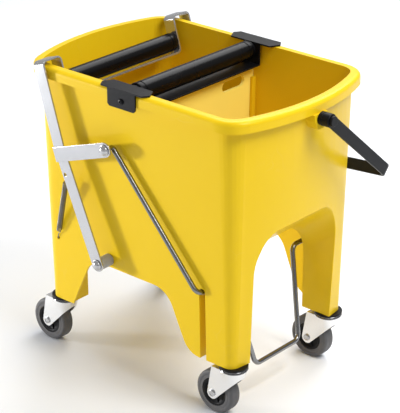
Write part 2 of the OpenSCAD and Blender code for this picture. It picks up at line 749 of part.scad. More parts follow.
wire_out = wire_d / 2 + gap;
spring_top = [spring_at[0], arm_y - strip_t - wire_out, spring_at[1]];
spring_foot = [spring_x, inner_w(spring_z) + wall + wire_out, spring_z];
spring_dir = unit(spring_foot - spring_top);
spring_side = unit(cross(spring_dir, [0, 1, 0]));
spring_up = cross(spring_dir, spring_side);
lead = (norm(spring_foot - spring_top) - coil_len) / 2;
ring_count = 8;
coil = [for (i = [0:turns * ring_count])
    let (a = 360 * i / ring_count, k = i / (turns * ring_count))
    spring_top + spring_dir * (lead + coil_len * k)
        + coil_d / 2 * (cos(a) * spring_side + sin(a) * spring_up)];
hook_in = [0, wire_out + wall, 0];
hook_top = concat([spring_top + hook_in],
    bend(spring_top + hook_in, spring_top, spring_top + spring_dir * lead * 0.5, wire_d, 3),
    [spring_top + spring_dir * lead * 0.5]);
hook_foot = concat([spring_foot - spring_dir * lead * 0.5],
    bend(spring_foot - spring_dir * lead * 0.5, spring_foot, spring_foot - hook_in, wire_d, 3),
    [spring_foot - hook_in]);
spring_path = concat(hook_top, coil, hook_foot);

// Least clear distance between turns of the coil that lie next to each other
spring_gap = min([for (i = [0:len(coil) - 1]) for (j = [i + 5:min(i + 11, len(coil) - 1)])
    norm(coil[i] - coil[j])]) - wire_d;
echo(spring_gap_mm = spring_gap);

module return_spring_far() color(grey) swept(spring_path, wire_d / 2, 6);
module return_spring_near() mirror([0, 1, 0]) return_spring_far();

// Bail

module bail_handle() color(black) translate([0, 0, bail_z]) rotate([-bail_drop, 0, 0]) {
    x = bail_x + bail_eye_t - bail_t / 2;
    line = [[x, 0], [x, bail_arm], [grip_x, bail_reach], [-grip_x, bail_reach], [-x, bail_arm], [-x, 0]];
    difference() {
        union() {
            linear_extrude(bail_w, center = true) polygon(concat(
                rounded(shifted(line, bail_t / 2), bail_t * 2, 6),
                backwards(rounded(shifted(line, -bail_t / 2), bail_t * 3, 6))));
            both_ends() translate([bail_x + bail_eye_t / 2, 0, 0]) rod_x(bail_eye_d, bail_eye_t);
        }
        rod_x(bail_pin_d + 2 * fit, 2 * through);
    }
}

module bail_pins() color(black) both_ends() {
    head = bail_x + bail_eye_t + gap;
    translate([(head + lug_x - pin_in) / 2, 0, bail_z]) rod_x(bail_pin_d, head - lug_x + pin_in);
    translate([head + 2.5, 0, bail_z]) rod_x(bail_pin_d * 1.8, 5);
}

// Casters, drawn about their swivel axis with the wheel trailing towards -X

module leg_insert() color(black) difference() {
    union() {
        translate([0, 0, leg_foot - insert_t]) cylinder(d = race_d, h = insert_t);
        translate([0, 0, leg_foot - past]) cylinder(d = plug_d, h = plug_h);
    }
    translate([0, 0, race_z]) cylinder(d = axle_d + fit / 2, h = through);
}

module swivel_race() color(zinc) {
    translate([0, 0, race_z]) cylinder(d = race_d, h = race_h);
    translate([0, 0, race_z]) cylinder(d = axle_d, h = race_h + insert_t + plug_h - 2);
    translate([0, 0, crown_z - fork_t - gap - 3]) cylinder(d = axle_d + 8, h = 3);
    translate([0, 0, crown_z - fork_t - gap - 1]) cylinder(d = axle_d + 2, h = fork_t + 2 * gap + 2);
}

module fork() color(zinc) difference() {
    top = crown_z;
    cheek = [[-trail - 2, top], [race_d / 2 - 2, top], [race_d / 2 - 2, top - 10],
        [-trail + fork_eye_r * cos(50), wheel_r - fork_eye_r * sin(50)], [-trail - fork_eye_r, wheel_r]];
    union() {
        both_sides() translate([0, fork_in + fork_t / 2, 0]) along_y(fork_t) {
            polygon(cheek);
            translate([-trail, wheel_r]) circle(fork_eye_r);
        }
        translate([-trail - 2, -fork_in - fork_t, top - fork_t])
            cube([trail + race_d / 2, 2 * (fork_in + fork_t), fork_t]);
        translate([0, 0, top - fork_t]) cylinder(d = race_d - 4, h = fork_t);
    }
    cylinder(d = axle_d + 2 + 2 * fit, h = through);
    translate([-trail, 0, wheel_r]) rod_y(axle_d + 2 * fit, through);
}

module axle_bolt() color(zinc) translate([-trail, 0, wheel_r]) {
    rod_y(axle_d, 2 * (fork_in + fork_t + bolt_head_h));
    both_sides() translate([0, fork_in + fork_t + bolt_head_h / 2, 0])
        rotate([90, 0, 0]) cylinder(d = axle_d * 1.7, h = bolt_head_h, center = true, $fn = 6);
}

module hub() color(black) translate([-trail, 0, wheel_r]) rotate([90, 0, 0]) rotate_extrude() polygon([
    [axle_d / 2 + fit, -fork_in + gap], [axle_d + 2, -fork_in + gap], [axle_d + 3, -tyre_w / 2 + 5],
    [hub_d / 2 - 6, -tyre_w / 2 + 4], [hub_d / 2 - 4, -tyre_w / 2 + 1], [hub_d / 2, -tyre_w / 2 + 1],
    [hub_d / 2, tyre_w / 2 - 1], [hub_d / 2 - 4, tyre_w / 2 - 1], [hub_d / 2 - 6, tyre_w / 2 - 4],
    [axle_d + 3, tyre_w / 2 - 5], [axle_d + 2, fork_in - gap], [axle_d / 2 + fit, fork_in - gap]]);

module tyre() color(grey) translate([-trail, 0, wheel_r]) rotate([90, 0, 0]) rotate_extrude() {
    shoulder = 5;
    polygon(concat(
        [[hub_d / 2 + fit / 4, -tyre_w / 2], [hub_d / 2 + fit / 4, tyre_w / 2]],
        arc([wheel_r - shoulder, tyre_w / 2 - shoulder], shoulder, 90, 0, 5),
        arc([wheel_r - shoulder, -tyre_w / 2 + shoulder], shoulder, 0, -90, 5)));
}

module back_near() translate([-caster_x, -caster_y, 0]) children();
module back_far() translate([-caster_x, caster_y, 0]) rotate([0, 0, -far_turn]) children();
module front_near() translate([caster_x, -caster_y, 0]) children();
module front_far() translate([caster_x, caster_y, 0]) children();

tub_body();
divider_panel();
fixed_frame();
frame_screws();
fixed_axle();
fixed_axle_nuts();
fixed_roller();
fixed_bushes();
yoke_strip();
link_near();
link_far();
moving_axle();
moving_axle_nuts();
moving_roller();
moving_bushes();
pivot_pins();
pivot_spacers();
pivot_caps();
pivot_nuts();
pedal_stirrup();
pedal_caps();
return_spring_near();
return_spring_far();
bail_handle();
bail_pins();
back_near() leg_insert();  // leg_insert_back_near
back_far() leg_insert();  // leg_insert_back_far
front_near() leg_insert();  // leg_insert_front_near
front_far() leg_insert();  // leg_insert_front_far
back_near() swivel_race();  // swivel_race_back_near
back_far() swivel_race();  // swivel_race_back_far
front_near() swivel_race();  // swivel_race_front_near
front_far() swivel_race();  // swivel_race_front_far
back_near() fork();  // fork_back_near
back_far() fork();  // fork_back_far
front_near() fork();  // fork_front_near
front_far() fork();  // fork_front_far
back_near() axle_bolt();  // axle_bolt_back_near
back_far() axle_bolt();  // axle_bolt_back_far
front_near() axle_bolt();  // axle_bolt_front_near
front_far() axle_bolt();  // axle_bolt_front_far
back_near() hub();  // hub_back_near
back_far() hub();  // hub_back_far
front_near() hub();  // hub_front_near
front_far() hub();  // hub_front_far
back_near() tyre();  // tyre_back_near
back_far() tyre();  // tyre_back_far
front_near() tyre();  // tyre_front_near
front_far() tyre();  // tyre_front_far
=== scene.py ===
"""Looks of a pedal-worked mop bucket trolley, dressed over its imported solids.

Lengths are in metres, in the frame of the solids: +X runs to the pedal end, +Y to the side where the bail
hangs, and the floor is at zero.
"""

from __future__ import annotations

import json
import logging
import math
from dataclasses import dataclass, field
from enum import Enum
from typing import Iterable, Sequence, Union

import bmesh
import bpy
from bmesh.types import BMEdge, BMesh, BMVert
from bpy.types import Material, Node, NodeSocket, NodeTree, Object
from mathutils import Euler, Matrix, Vector

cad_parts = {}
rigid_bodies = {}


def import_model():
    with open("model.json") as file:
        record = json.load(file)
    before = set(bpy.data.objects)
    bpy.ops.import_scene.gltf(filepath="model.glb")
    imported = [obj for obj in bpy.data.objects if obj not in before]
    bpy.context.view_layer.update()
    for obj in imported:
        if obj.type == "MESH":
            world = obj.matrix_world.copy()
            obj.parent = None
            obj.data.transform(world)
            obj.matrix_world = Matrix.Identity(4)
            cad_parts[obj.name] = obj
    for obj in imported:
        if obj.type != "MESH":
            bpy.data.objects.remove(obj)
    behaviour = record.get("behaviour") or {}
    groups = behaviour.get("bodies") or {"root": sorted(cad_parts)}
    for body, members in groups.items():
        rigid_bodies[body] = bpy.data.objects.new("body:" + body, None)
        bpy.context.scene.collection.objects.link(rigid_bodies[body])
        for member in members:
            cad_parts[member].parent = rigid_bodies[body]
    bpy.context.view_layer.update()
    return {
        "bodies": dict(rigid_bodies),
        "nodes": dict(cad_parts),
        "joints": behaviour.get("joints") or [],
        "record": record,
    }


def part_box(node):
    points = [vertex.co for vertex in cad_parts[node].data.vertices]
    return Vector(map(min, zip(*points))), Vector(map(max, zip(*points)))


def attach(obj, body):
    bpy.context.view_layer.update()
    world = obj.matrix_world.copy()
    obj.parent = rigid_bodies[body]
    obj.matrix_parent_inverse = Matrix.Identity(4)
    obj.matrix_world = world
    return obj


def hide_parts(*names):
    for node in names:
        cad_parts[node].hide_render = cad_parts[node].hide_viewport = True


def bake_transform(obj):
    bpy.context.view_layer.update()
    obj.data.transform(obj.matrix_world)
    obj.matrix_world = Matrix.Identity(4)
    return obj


LOG = logging.getLogger("trolley")
MM = 0.001
WELD = 1e-6
FINE_WELD = 1e-7
Colour = tuple[float, float, float]
Point = tuple[float, float, float]
Profile = Sequence[tuple[float, float]]
Feed = Union[float, Sequence[float], NodeSocket]


class Corner(Enum):
    """The four legs, named by end and side as in the names of nodes."""

    BACK_NEAR = "back_near"
    BACK_FAR = "back_far"
    FRONT_NEAR = "front_near"
    FRONT_FAR = "front_far"


class Side(Enum):
    """The two long sides, with the sign of their place."""

    NEAR = -1
    FAR = 1

    @property
    def label(self) -> str:
        """Gives the name used in node names."""
        return self.name.lower()


class Mount(Enum):
    """The two rollers, named by how they are carried."""

    FIXED = "fixed"
    MOVING = "moving"


# Shader node groups


@dataclass
class Graph:
    """A node tree that is filled node by node.

    Attributes:
        tree: The tree.
    """

    tree: NodeTree

    def add(self, kind: str, inputs: dict[str | int, Feed], **settings: str | NodeTree) -> Node:
        """Adds a node.

        Args:
            kind: Type of the node.
            inputs: What each input is set to or linked from.
            settings: Properties of the node.

        Returns:
            The new node.
        """
        node = self.tree.nodes.new(kind)
        for label, setting in settings.items():
            setattr(node, label, setting)
        for label, value in inputs.items():
            if isinstance(value, NodeSocket):
                self.tree.links.new(value, node.inputs[label])
            else:
                node.inputs[label].default_value = value
        return node

    def math(self, operation: str, *values: Feed) -> NodeSocket:
        """Adds a math node.

        Args:
            operation: What the node does.
            values: Numbers or sockets that it works on.

        Returns:
            Its result.
        """
        return self.add("ShaderNodeMath", dict(enumerate(values)), operation=operation).outputs[0]

    def noise(self, place: NodeSocket, scale: Feed, detail: float = 3.0,
              roughness: float = 0.55) -> NodeSocket:
        """Adds a noise texture.

        Args:
            place: Coordinates that it reads.
            scale: Its scale.
            detail: Its detail.
            roughness: Its roughness.

        Returns:
            Its value.
        """
        inputs = {"Vector": place, "Scale": scale, "Detail": detail, "Roughness": roughness}
        return self.add("ShaderNodeTexNoise", inputs).outputs[0]

    def smooth_range(self, value: NodeSocket, start: float, stop: float, low: float,
                     high: float) -> NodeSocket:
        """Maps a value smoothly from one range to another.

        Args:
            value: The value.
            start: Where the change starts.
            stop: Where it stops.
            low: Result at the start.
            high: Result at the stop.

        Returns:
            The mapped value.
        """
        inputs = {"Value": value, "From Min": start, "From Max": stop, "To Min": low, "To Max": high}
        return self.add("ShaderNodeMapRange", inputs, interpolation_type="SMOOTHSTEP").outputs["Result"]

    def mix(self, factor: NodeSocket, first: Colour | NodeSocket, second: Colour | NodeSocket) -> NodeSocket:
        """Mixes two tones.

        Args:
            factor: Share of the second tone.
            first: First tone.
            second: Second tone.

        Returns:
            The mixed tone.
        """
        tones = [(*tone, 1.0) if isinstance(tone, tuple) else tone for tone in (first, second)]
        # The node's sockets for colours come after those for numbers and vectors
        inputs = {"Factor": factor, 6: tones[0], 7: tones[1]}
        return self.add("ShaderNodeMix", inputs, data_type="RGBA").outputs[2]

    def group(self, effect: NodeTree, place: NodeSocket, **values: float) -> Node:
        """Places a shared group.

        Args:
            effect: The group.
            place: Coordinates that it reads.
            values: What its named inputs are set to.

        Returns:
            The group's node.
        """
        return self.add("ShaderNodeGroup", {"Vector": place, **values}, node_tree=effect)


class Effect(Graph):
    """A shader node group that reads coordinates and a few named values.

    Attributes:
        given: Sockets of what the group is given.
        out: Sockets of what it gives.
    """

    def __init__(self, name: str, inputs: dict[str, float], outputs: Sequence[str]) -> None:
        """Starts the group with its sockets.

        Args:
            name: Name of the group.
            inputs: Default of each named value.
            outputs: Names of the values that it gives.
        """
        super().__init__(bpy.data.node_groups.new(name, "ShaderNodeTree"))
        sockets = self.tree.interface
        sockets.new_socket("Vector", in_out="INPUT", socket_type="NodeSocketVector")
        for label, default in inputs.items():
            sockets.new_socket(label, in_out="INPUT", socket_type="NodeSocketFloat").default_value = default
        for label in outputs:
            sockets.new_socket(label, in_out="OUTPUT", socket_type="NodeSocketFloat")
        self.given = self.tree.nodes.new("NodeGroupInput").outputs
        self.out = self.tree.nodes.new("NodeGroupOutput").inputs

    def give(self, label: str, value: NodeSocket) -> None:
        """Links a value to one of the group's outputs."""
        self.tree.links.new(value, self.out[label])


class ShaderGroups:
    """Effects that several finishes share, each built once as a node group."""

    def __init__(self) -> None:
        """Builds every group."""
        self.mottle = self._mottle()
        self.grain = self._grain()
        self.brushing = self._brushing()
        self.scuffs = self._scuffs()
        self.grime = self._grime()

    @staticmethod
    def _mottle() -> NodeTree:
        """Makes a slow cloudy change of tone, as in a thick moulding.

        Returns:
            The group, which gives a factor.
        """
        effect = Effect("mottle", {"Scale": 6.0, "Amount": 0.1}, ["Factor"])
        cloud = effect.noise(effect.given["Vector"], effect.given["Scale"], detail=2.0, roughness=0.5)
        centred = effect.math("SUBTRACT", cloud, 0.5)
        effect.give("Factor", effect.math("MULTIPLY_ADD", centred, effect.given["Amount"], 0.5))
        return effect.tree

    @staticmethod
    def _grain() -> NodeTree:
        """Makes a fine moulded or cast grain over slow waves.

        Returns:
            The group, which gives a height.
        """
        effect = Effect("grain", {"Scale": 900.0, "Waviness": 0.3}, ["Height"])
        fine = effect.noise(effect.given["Vector"], effect.given["Scale"], detail=2.0)
        slow = effect.noise(effect.given["Vector"], scale=22.0, detail=1.0)
        waves = effect.math("MULTIPLY", slow, effect.given["Waviness"])
        effect.give("Height", effect.math("ADD", fine, waves))
        return effect.tree

    @staticmethod
    def _brushing() -> NodeTree:
        """Makes the long fine lines of rolled or drawn metal.

        Returns:
            The group, which gives the clouded lines and their height.
        """
        effect = Effect("brushing", {"Stretch": 40.0}, ["Lines", "Height"])
        place, stretch = effect.given["Vector"], effect.given["Stretch"]
        drawn = effect.add("ShaderNodeCombineXYZ", {"X": stretch, "Y": stretch, "Z": 1.0})
        scaled = effect.add("ShaderNodeVectorMath", {0: place, 1: drawn.outputs[0]}, operation="MULTIPLY")
        lines = effect.noise(scaled.outputs[0], scale=28.0, detail=4.0, roughness=0.6)
        cloud = effect.noise(place, scale=35.0, detail=2.0)
        effect.give("Lines", effect.math("MULTIPLY_ADD", cloud, 0.5, effect.math("MULTIPLY", lines, 0.5)))
        effect.give("Height", lines)
        return effect.tree

    @staticmethod
    def _scuffs() -> NodeTree:
        """Makes thin stray scratches, here and there.

        Returns:
            The group, which gives a mask.
        """
        effect = Effect("scuffs", {"Scale": 18.0, "Width": 0.02}, ["Mask"])
        place = effect.given["Vector"]
        warp = effect.add("ShaderNodeTexNoise", {"Vector": place, "Scale": 7.0}).outputs["Color"]
        bent = effect.add("ShaderNodeVectorMath", {0: warp, 1: (0.25, 0.25, 0.25), 2: place},
                          operation="MULTIPLY_ADD")
        inputs = {"Vector": bent.outputs[0], "Scale": effect.given["Scale"]}
        cells = effect.add("ShaderNodeTexVoronoi", inputs, feature="DISTANCE_TO_EDGE")
        line = effect.math("LESS_THAN", cells.outputs["Distance"], effect.given["Width"])
        patch = effect.smooth_range(effect.noise(place, scale=9.0), start=0.56, stop=0.68, low=0.0, high=1.0)
        effect.give("Mask", effect.math("MULTIPLY", line, patch))
        return effect.tree

    @staticmethod
    def _grime() -> NodeTree:
        """Makes dust that gathers low on the object.

        Returns:
            The group, which gives a mask.
        """
        effect = Effect("grime", {"Top": 0.2, "Amount": 0.2}, ["Mask"])
        place = effect.given["Vector"]
        height = effect.add("ShaderNodeSeparateXYZ", {0: place}).outputs["Z"]
        low = effect.math("SUBTRACT", 1.0, effect.math("DIVIDE", height, effect.given["Top"]))
        speckle = effect.noise(place, scale=60.0, detail=5.0, roughness=0.7)
        spots = effect.smooth_range(speckle, start=0.4, stop=0.7, low=0.2, high=1.0)
        dusty = effect.math("MULTIPLY", effect.math("MAXIMUM", low, 0.0), spots)
        effect.give("Mask", effect.math("MULTIPLY", dusty, effect.given["Amount"]))
        return effect.tree


# Finishes

COAT_ROUGHNESS = 0.12
RELIEF_DEPTH = 0.4 * MM
PATTERN_RANGE = (0.3, 0.7)
SCRATCH_KEEPS = 0.6
SCRATCH_ADDS = 0.35
DUST: Colour = (0.22, 0.19, 0.15)


@dataclass(frozen=True)
class Finish:
    """One surface finish, from its tones to its fine relief.

    Attributes:
        name: Material name.
        slot: Slot in the record that the finish belongs to; not used.
        light: Lighter tone.
        dark: Darker tone.
        rough: Lowest and highest roughness.
        metal: Metallic value.
        coat: Clear coat weight.
        grain: Scale of the fine grain.
        relief: Strength of the bump.
        mottle: Scale and amount of the slow change of tone.
        scuff: Amount that scratches lighten the tone.
        grime: Amount of dust near the floor.
        brushed: Whether the relief is drawn out into lines.
        specular: Strength of the mirror part.
        tint: Colour of the mirror part.
    """

    name: str
    slot: str
    light: Colour
    dark: Colour
    rough: tuple[float, float]
    metal: float = 0.0
    coat: float = 0.0
    grain: float = 900.0
    relief: float = 0.05
    mottle: tuple[float, float] = (7.0, 0.6)
    scuff: float = 0.0
    grime: float = 0.0
    brushed: bool = False
    specular: float = 0.5
    tint: Colour = (1.0, 1.0, 1.0)

    def build(self, groups: ShaderGroups) -> Material:
        """Makes the material.

        Args:
            groups: Shared shader groups.

        Returns:
            The finished material.
        """
        material = bpy.data.materials.new(self.name)
        material.use_nodes = True
        graph = Graph(material.node_tree)
        shader = graph.tree.nodes["Principled BSDF"].inputs
        shader["Metallic"].default_value = self.metal
        shader["Coat Weight"].default_value = self.coat
        shader["Coat Roughness"].default_value = COAT_ROUGHNESS
        shader["Specular IOR Level"].default_value = self.specular
        shader["Specular Tint"].default_value = (*self.tint, 1.0)
        place = graph.add("ShaderNodeTexCoord", {}).outputs["Object"]
        if self.brushed:
            lines = graph.group(groups.brushing, place).outputs
            pattern, height = lines["Lines"], lines["Height"]
        else:
            scale, amount = self.mottle
            pattern = graph.group(groups.mottle, place, Scale=scale, Amount=amount).outputs["Factor"]
            height = graph.group(groups.grain, place, Scale=self.grain).outputs["Height"]
        (start, stop), (low, high) = PATTERN_RANGE, self.rough
        spread = {"Value": pattern, "From Min": start, "From Max": stop, "To Min": low, "To Max": high}
        rough = graph.add("ShaderNodeMapRange", spread)
        relief = {"Strength": self.relief, "Distance": RELIEF_DEPTH, "Height": height}
        bump = graph.add("ShaderNodeBump", relief)
        graph.tree.links.new(self.tone(graph, groups, place, pattern), shader["Base Color"])
        graph.tree.links.new(rough.outputs["Result"], shader["Roughness"])
        graph.tree.links.new(bump.outputs["Normal"], shader["Normal"])
        return material

    def tone(self, graph: Graph, groups: ShaderGroups, place: NodeSocket, pattern: NodeSocket) -> NodeSocket:
        """Mixes the two tones by the pattern, and lays scratches and dust over them.

        Args:
            graph: The material's nodes.
            groups: Shared shader groups.
            place: Coordinates that the effects read.
            pattern: Share of the lighter tone.

        Returns:
            The colour of the surface.
        """
        tone = graph.mix(pattern, self.dark, self.light)
        if self.scuff:
            mask = graph.group(groups.scuffs, place).outputs["Mask"]
            pale = tuple(min(1.0, value * SCRATCH_KEEPS + SCRATCH_ADDS) for value in self.light)
            tone = graph.mix(graph.math("MULTIPLY", mask, self.scuff), tone, pale)
        if self.grime:
            mask = graph.group(groups.grime, place, Amount=self.grime).outputs["Mask"]
            tone = graph.mix(mask, tone, DUST)
        return tone


YELLOW = Finish("yellow_moulding", "yellow_plastic", (0.79, 0.535, 0.010), (0.75, 0.495, 0.008), (0.27, 0.37),
                coat=0.05, grain=1400.0, relief=0.03, scuff=0.04, grime=0.10, specular=0.26,
                tint=(1.0, 0.84, 0.42))
# The divider's finish is a lighter copy of the tub's yellow: painted light for the light that falls on the
# divider.
PAINTED_LIGHT_YELLOW = Finish("pale_yellow_moulding", "yellow_plastic", (0.97, 0.80, 0.165), (0.95, 0.76, 0.140),
                     (0.30, 0.40), coat=0.1, grain=1400.0, relief=0.03, scuff=0.03, specular=0.32)
BLACK_STEEL = Finish("black_powder_coat", "black_steel", (0.006, 0.006, 0.007), (0.004, 0.004, 0.005),
                     (0.30, 0.42), grain=700.0, relief=0.12, scuff=0.02, specular=0.16)
ROLLER = Finish("roller_cover", "roller_rubber", (0.003, 0.003, 0.0035), (0.002, 0.002, 0.0025), (0.22, 0.32),
                grain=500.0, relief=0.05, scuff=0.01, specular=0.14)
BLACK_PLASTIC = Finish("black_moulding", "black_plastic", (0.006, 0.006, 0.007), (0.004, 0.004, 0.005),
                       (0.34, 0.46), grain=1100.0, relief=0.09, scuff=0.03, specular=0.16)
GREY_PLASTIC = Finish("grey_moulding", "grey_plastic", (0.36, 0.36, 0.37), (0.29, 0.29, 0.30), (0.36, 0.48),
                      grain=1100.0, relief=0.08)
ZINC = Finish("zinc_plate", "zinc_steel", (0.56, 0.56, 0.57), (0.48, 0.48, 0.49), (0.14, 0.24), metal=0.8,
              relief=0.05, brushed=True)
# The fork's finish is a lighter copy of the zinc: painted light that makes the fork look brighter than the
# other zinc parts.
FORK_PAINTED_LIGHT = Finish("pressed_zinc", "zinc_steel", (0.88, 0.88, 0.88), (0.80, 0.80, 0.81), (0.16, 0.26), metal=0.9,
              relief=0.05, brushed=True)
RACE = Finish("polished_race", "zinc_steel", (0.30, 0.30, 0.31), (0.20, 0.20, 0.21), (0.12, 0.22), metal=1.0,
              relief=0.03, brushed=True)
ROD = Finish("drawn_rod", "zinc_steel", (0.28, 0.28, 0.28), (0.18, 0.18, 0.18), (0.16, 0.26), metal=1.0,
             relief=0.05, brushed=True)
WIRE = Finish("spring_wire", "zinc_steel", (0.30, 0.30, 0.30), (0.20, 0.20, 0.20), (0.25, 0.38), metal=1.0,
              relief=0.04, brushed=True)
TYRE = Finish("grey_rubber", "tyre_grey", (0.085, 0.085, 0.090), (0.065, 0.065, 0.070), (0.50, 0.66),
              grain=800.0, relief=0.16, scuff=0.04, grime=0.25)


class Palette:
    """Builds each finish once and hands it out."""

    def __init__(self) -> None:
        """Starts with the shared groups and no materials."""
        self.groups = ShaderGroups()
        self.made: dict[str, Material] = {}

    def of(self, finish: Finish) -> Material:
        """Hands out the material of a finish, made on first use.

        Args:
            finish: The finish.

        Returns:
            Its material.
        """
        if finish.name not in self.made:
            self.made[finish.name] = finish.build(self.groups)
        return self.made[finish.name]


# Mesh helpers


def middle(node: str) -> Vector:
    """Finds the middle of a node's box."""
    low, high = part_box(node)
    return (Vector(low) + Vector(high)) / 2


def span(node: str, axis: int) -> tuple[float, float]:
    """Finds a node's lowest and highest place along an axis."""
    low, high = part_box(node)
    return low[axis], high[axis]


def both_ends(half: Profile) -> Profile:
    """Mirrors half of a closed profile, drawn inwards from its outer end, to the other end of the axis."""
    return [(-along, radius) for along, radius in half] + list(reversed(half))


def rounded_path(points: Sequence[Vector], radii: Sequence[float], steps: int = 8) -> list[Vector]:
    """Rounds the corners of a line of points.

    Args:
        points: Ends and corners of the line.
        radii: Radius at each corner, in order.
        steps: Steps of each arc.

    Returns:
        The points of the rounded line.
    """
    path = [points[0]]
    for before, here, after, radius in zip(points, points[1:], points[2:], radii):
        back, ahead = (before - here).normalized(), (after - here).normalized()
        half = back.angle(ahead) / 2
        centre = here + (back + ahead).normalized() * radius / math.sin(half)
        first = here + back * radius / math.tan(half) - centre
        last = here + ahead * radius / math.tan(half) - centre
        hinge, turn = first.cross(last), first.angle(last)
        path += [centre + Matrix.Rotation(turn * i / steps, 3, hinge) @ first for i in range(steps + 1)]
    return path + [points[-1]]


def drawn_line(mesh: BMesh, points: Iterable[Sequence[float]]) -> list[BMEdge]:
    """Draws a line of edges through points.

    Args:
        mesh: Mesh that gets the line.
        points: Points of the line, in order.

    Returns:
        The edges.
    """
    verts = [mesh.verts.new(point) for point in points]
    return [mesh.edges.new(pair) for pair in zip(verts, verts[1:])]


def extruded(mesh: BMesh, edges: Sequence[BMEdge]) -> tuple[list[BMVert], list[BMEdge]]:
    """Extrudes a line of edges in place, to be moved afterwards.

    Args:
        mesh: Mesh that is changed.
        edges: The line.

    Returns:
        The points and edges of the new line.
    """
    made = bmesh.ops.extrude_edge_only(mesh, edges=edges)["geom"]
    verts = [g for g in made if isinstance(g, BMVert)]
    return verts, [g for g in made if isinstance(g, BMEdge) and all(v in verts for v in g.verts)]


def sharp_edges(edges: Iterable[BMEdge], angle: float) -> list[BMEdge]:
    """Picks the edges whose two faces turn by more than an angle in degrees."""
    return [e for e in edges if len(e.link_faces) == 2 and e.calc_face_angle(0.0) > math.radians(angle)]


def bevelled(mesh: BMesh, edges: list[BMEdge], width: float, segments: int, clamp: bool = True) -> None:
    """Rounds edges of a mesh.

    Args:
        mesh: Mesh that is changed.
        edges: Edges to round.
        width: Width of the rounding.
        segments: Steps of the rounding.
        clamp: Whether the rounding narrows where it would overlap.
    """
    bmesh.ops.bevel(mesh, geom=edges, offset=width, offset_type="OFFSET", affect="EDGES", segments=segments,
                    profile=0.5, clamp_overlap=clamp, material=-1)


def cut(mesh: BMesh, place: Vector, out: Vector, clear: bool) -> None:
    """Cuts a mesh along a plane.

    Args:
        mesh: Mesh that is changed.
        place: Point on the plane.
        out: Direction that the plane faces.
        clear: Whether what lies in front of the plane is removed.
    """
    geometry = mesh.verts[:] + mesh.edges[:] + mesh.faces[:]
    bmesh.ops.bisect_plane(mesh, geom=geometry, dist=WELD, plane_co=place, plane_no=out, clear_outer=clear)


def turned(profile: Profile, centre: Vector, axis: Vector, steps: int) -> BMesh:
    """Spins a closed or axis-to-axis profile into a solid.

    Args:
        profile: Points as distance along the axis and radius.
        centre: Point on the axis from which the distances are counted.
        axis: Direction of the axis.
        steps: Steps of the full turn.

    Returns:
        The solid, with its normals outwards.
    """
    mesh = bmesh.new()
    along = axis.normalized()
    across = along.orthogonal().normalized()
    edges = drawn_line(mesh, [centre + along * a + across * r for a, r in profile])
    points = mesh.verts[:]
    if profile[0][1] > 0:
        edges.append(mesh.edges.new((points[-1], points[0])))
    bmesh.ops.spin(mesh, geom=points + edges, cent=centre, axis=along, dvec=(0, 0, 0), angle=math.tau,
                   steps=steps, use_merge=True, use_normal_flip=False, use_duplicate=False)
    bmesh.ops.remove_doubles(mesh, verts=mesh.verts[:], dist=FINE_WELD)
    bmesh.ops.recalc_face_normals(mesh, faces=mesh.faces[:])
    return mesh


def joined(parts: Sequence[BMesh]) -> BMesh:
    """Puts several meshes into the first, and frees the others.

    Args:
        parts: The meshes.

    Returns:
        The first mesh, with all of them.
    """
    whole = parts[0]
    for part in parts[1:]:
        data = bpy.data.meshes.new("part")
        part.to_mesh(data)
        part.free()
        whole.from_mesh(data)
        bpy.data.meshes.remove(data)
    return whole


def tube(points: Sequence[Vector], radius: float, sides: int) -> BMesh:
    """Sweeps a circle along a line of points and closes both ends.

    Args:
        points: Points of the path.
        radius: Radius of the tube.
        sides: Corners of its section.

    Returns:
        The tube.
    """
    curve = bpy.data.curves.new("path", "CURVE")
    curve.dimensions = "3D"
    curve.bevel_depth = radius
    curve.bevel_resolution = sides // 2 - 2
    curve.use_fill_caps = True
    spline = curve.splines.new("POLY")
    spline.points.add(len(points) - 1)
    for target, point in zip(spline.points, points):
        target.co = (*point, 1.0)
    holder = bpy.data.objects.new("path", curve)
    bpy.context.scene.collection.objects.link(holder)
    data = bpy.data.meshes.new_from_object(holder.evaluated_get(bpy.context.evaluated_depsgraph_get()))
    bpy.data.objects.remove(holder)
    bpy.data.curves.remove(curve)
    mesh = bmesh.new()
    mesh.from_mesh(data)
    bpy.data.meshes.remove(data)
    bmesh.ops.remove_doubles(mesh, verts=mesh.verts[:], dist=FINE_WELD)
    bmesh.ops.recalc_face_normals(mesh, faces=mesh.faces[:])
    return mesh


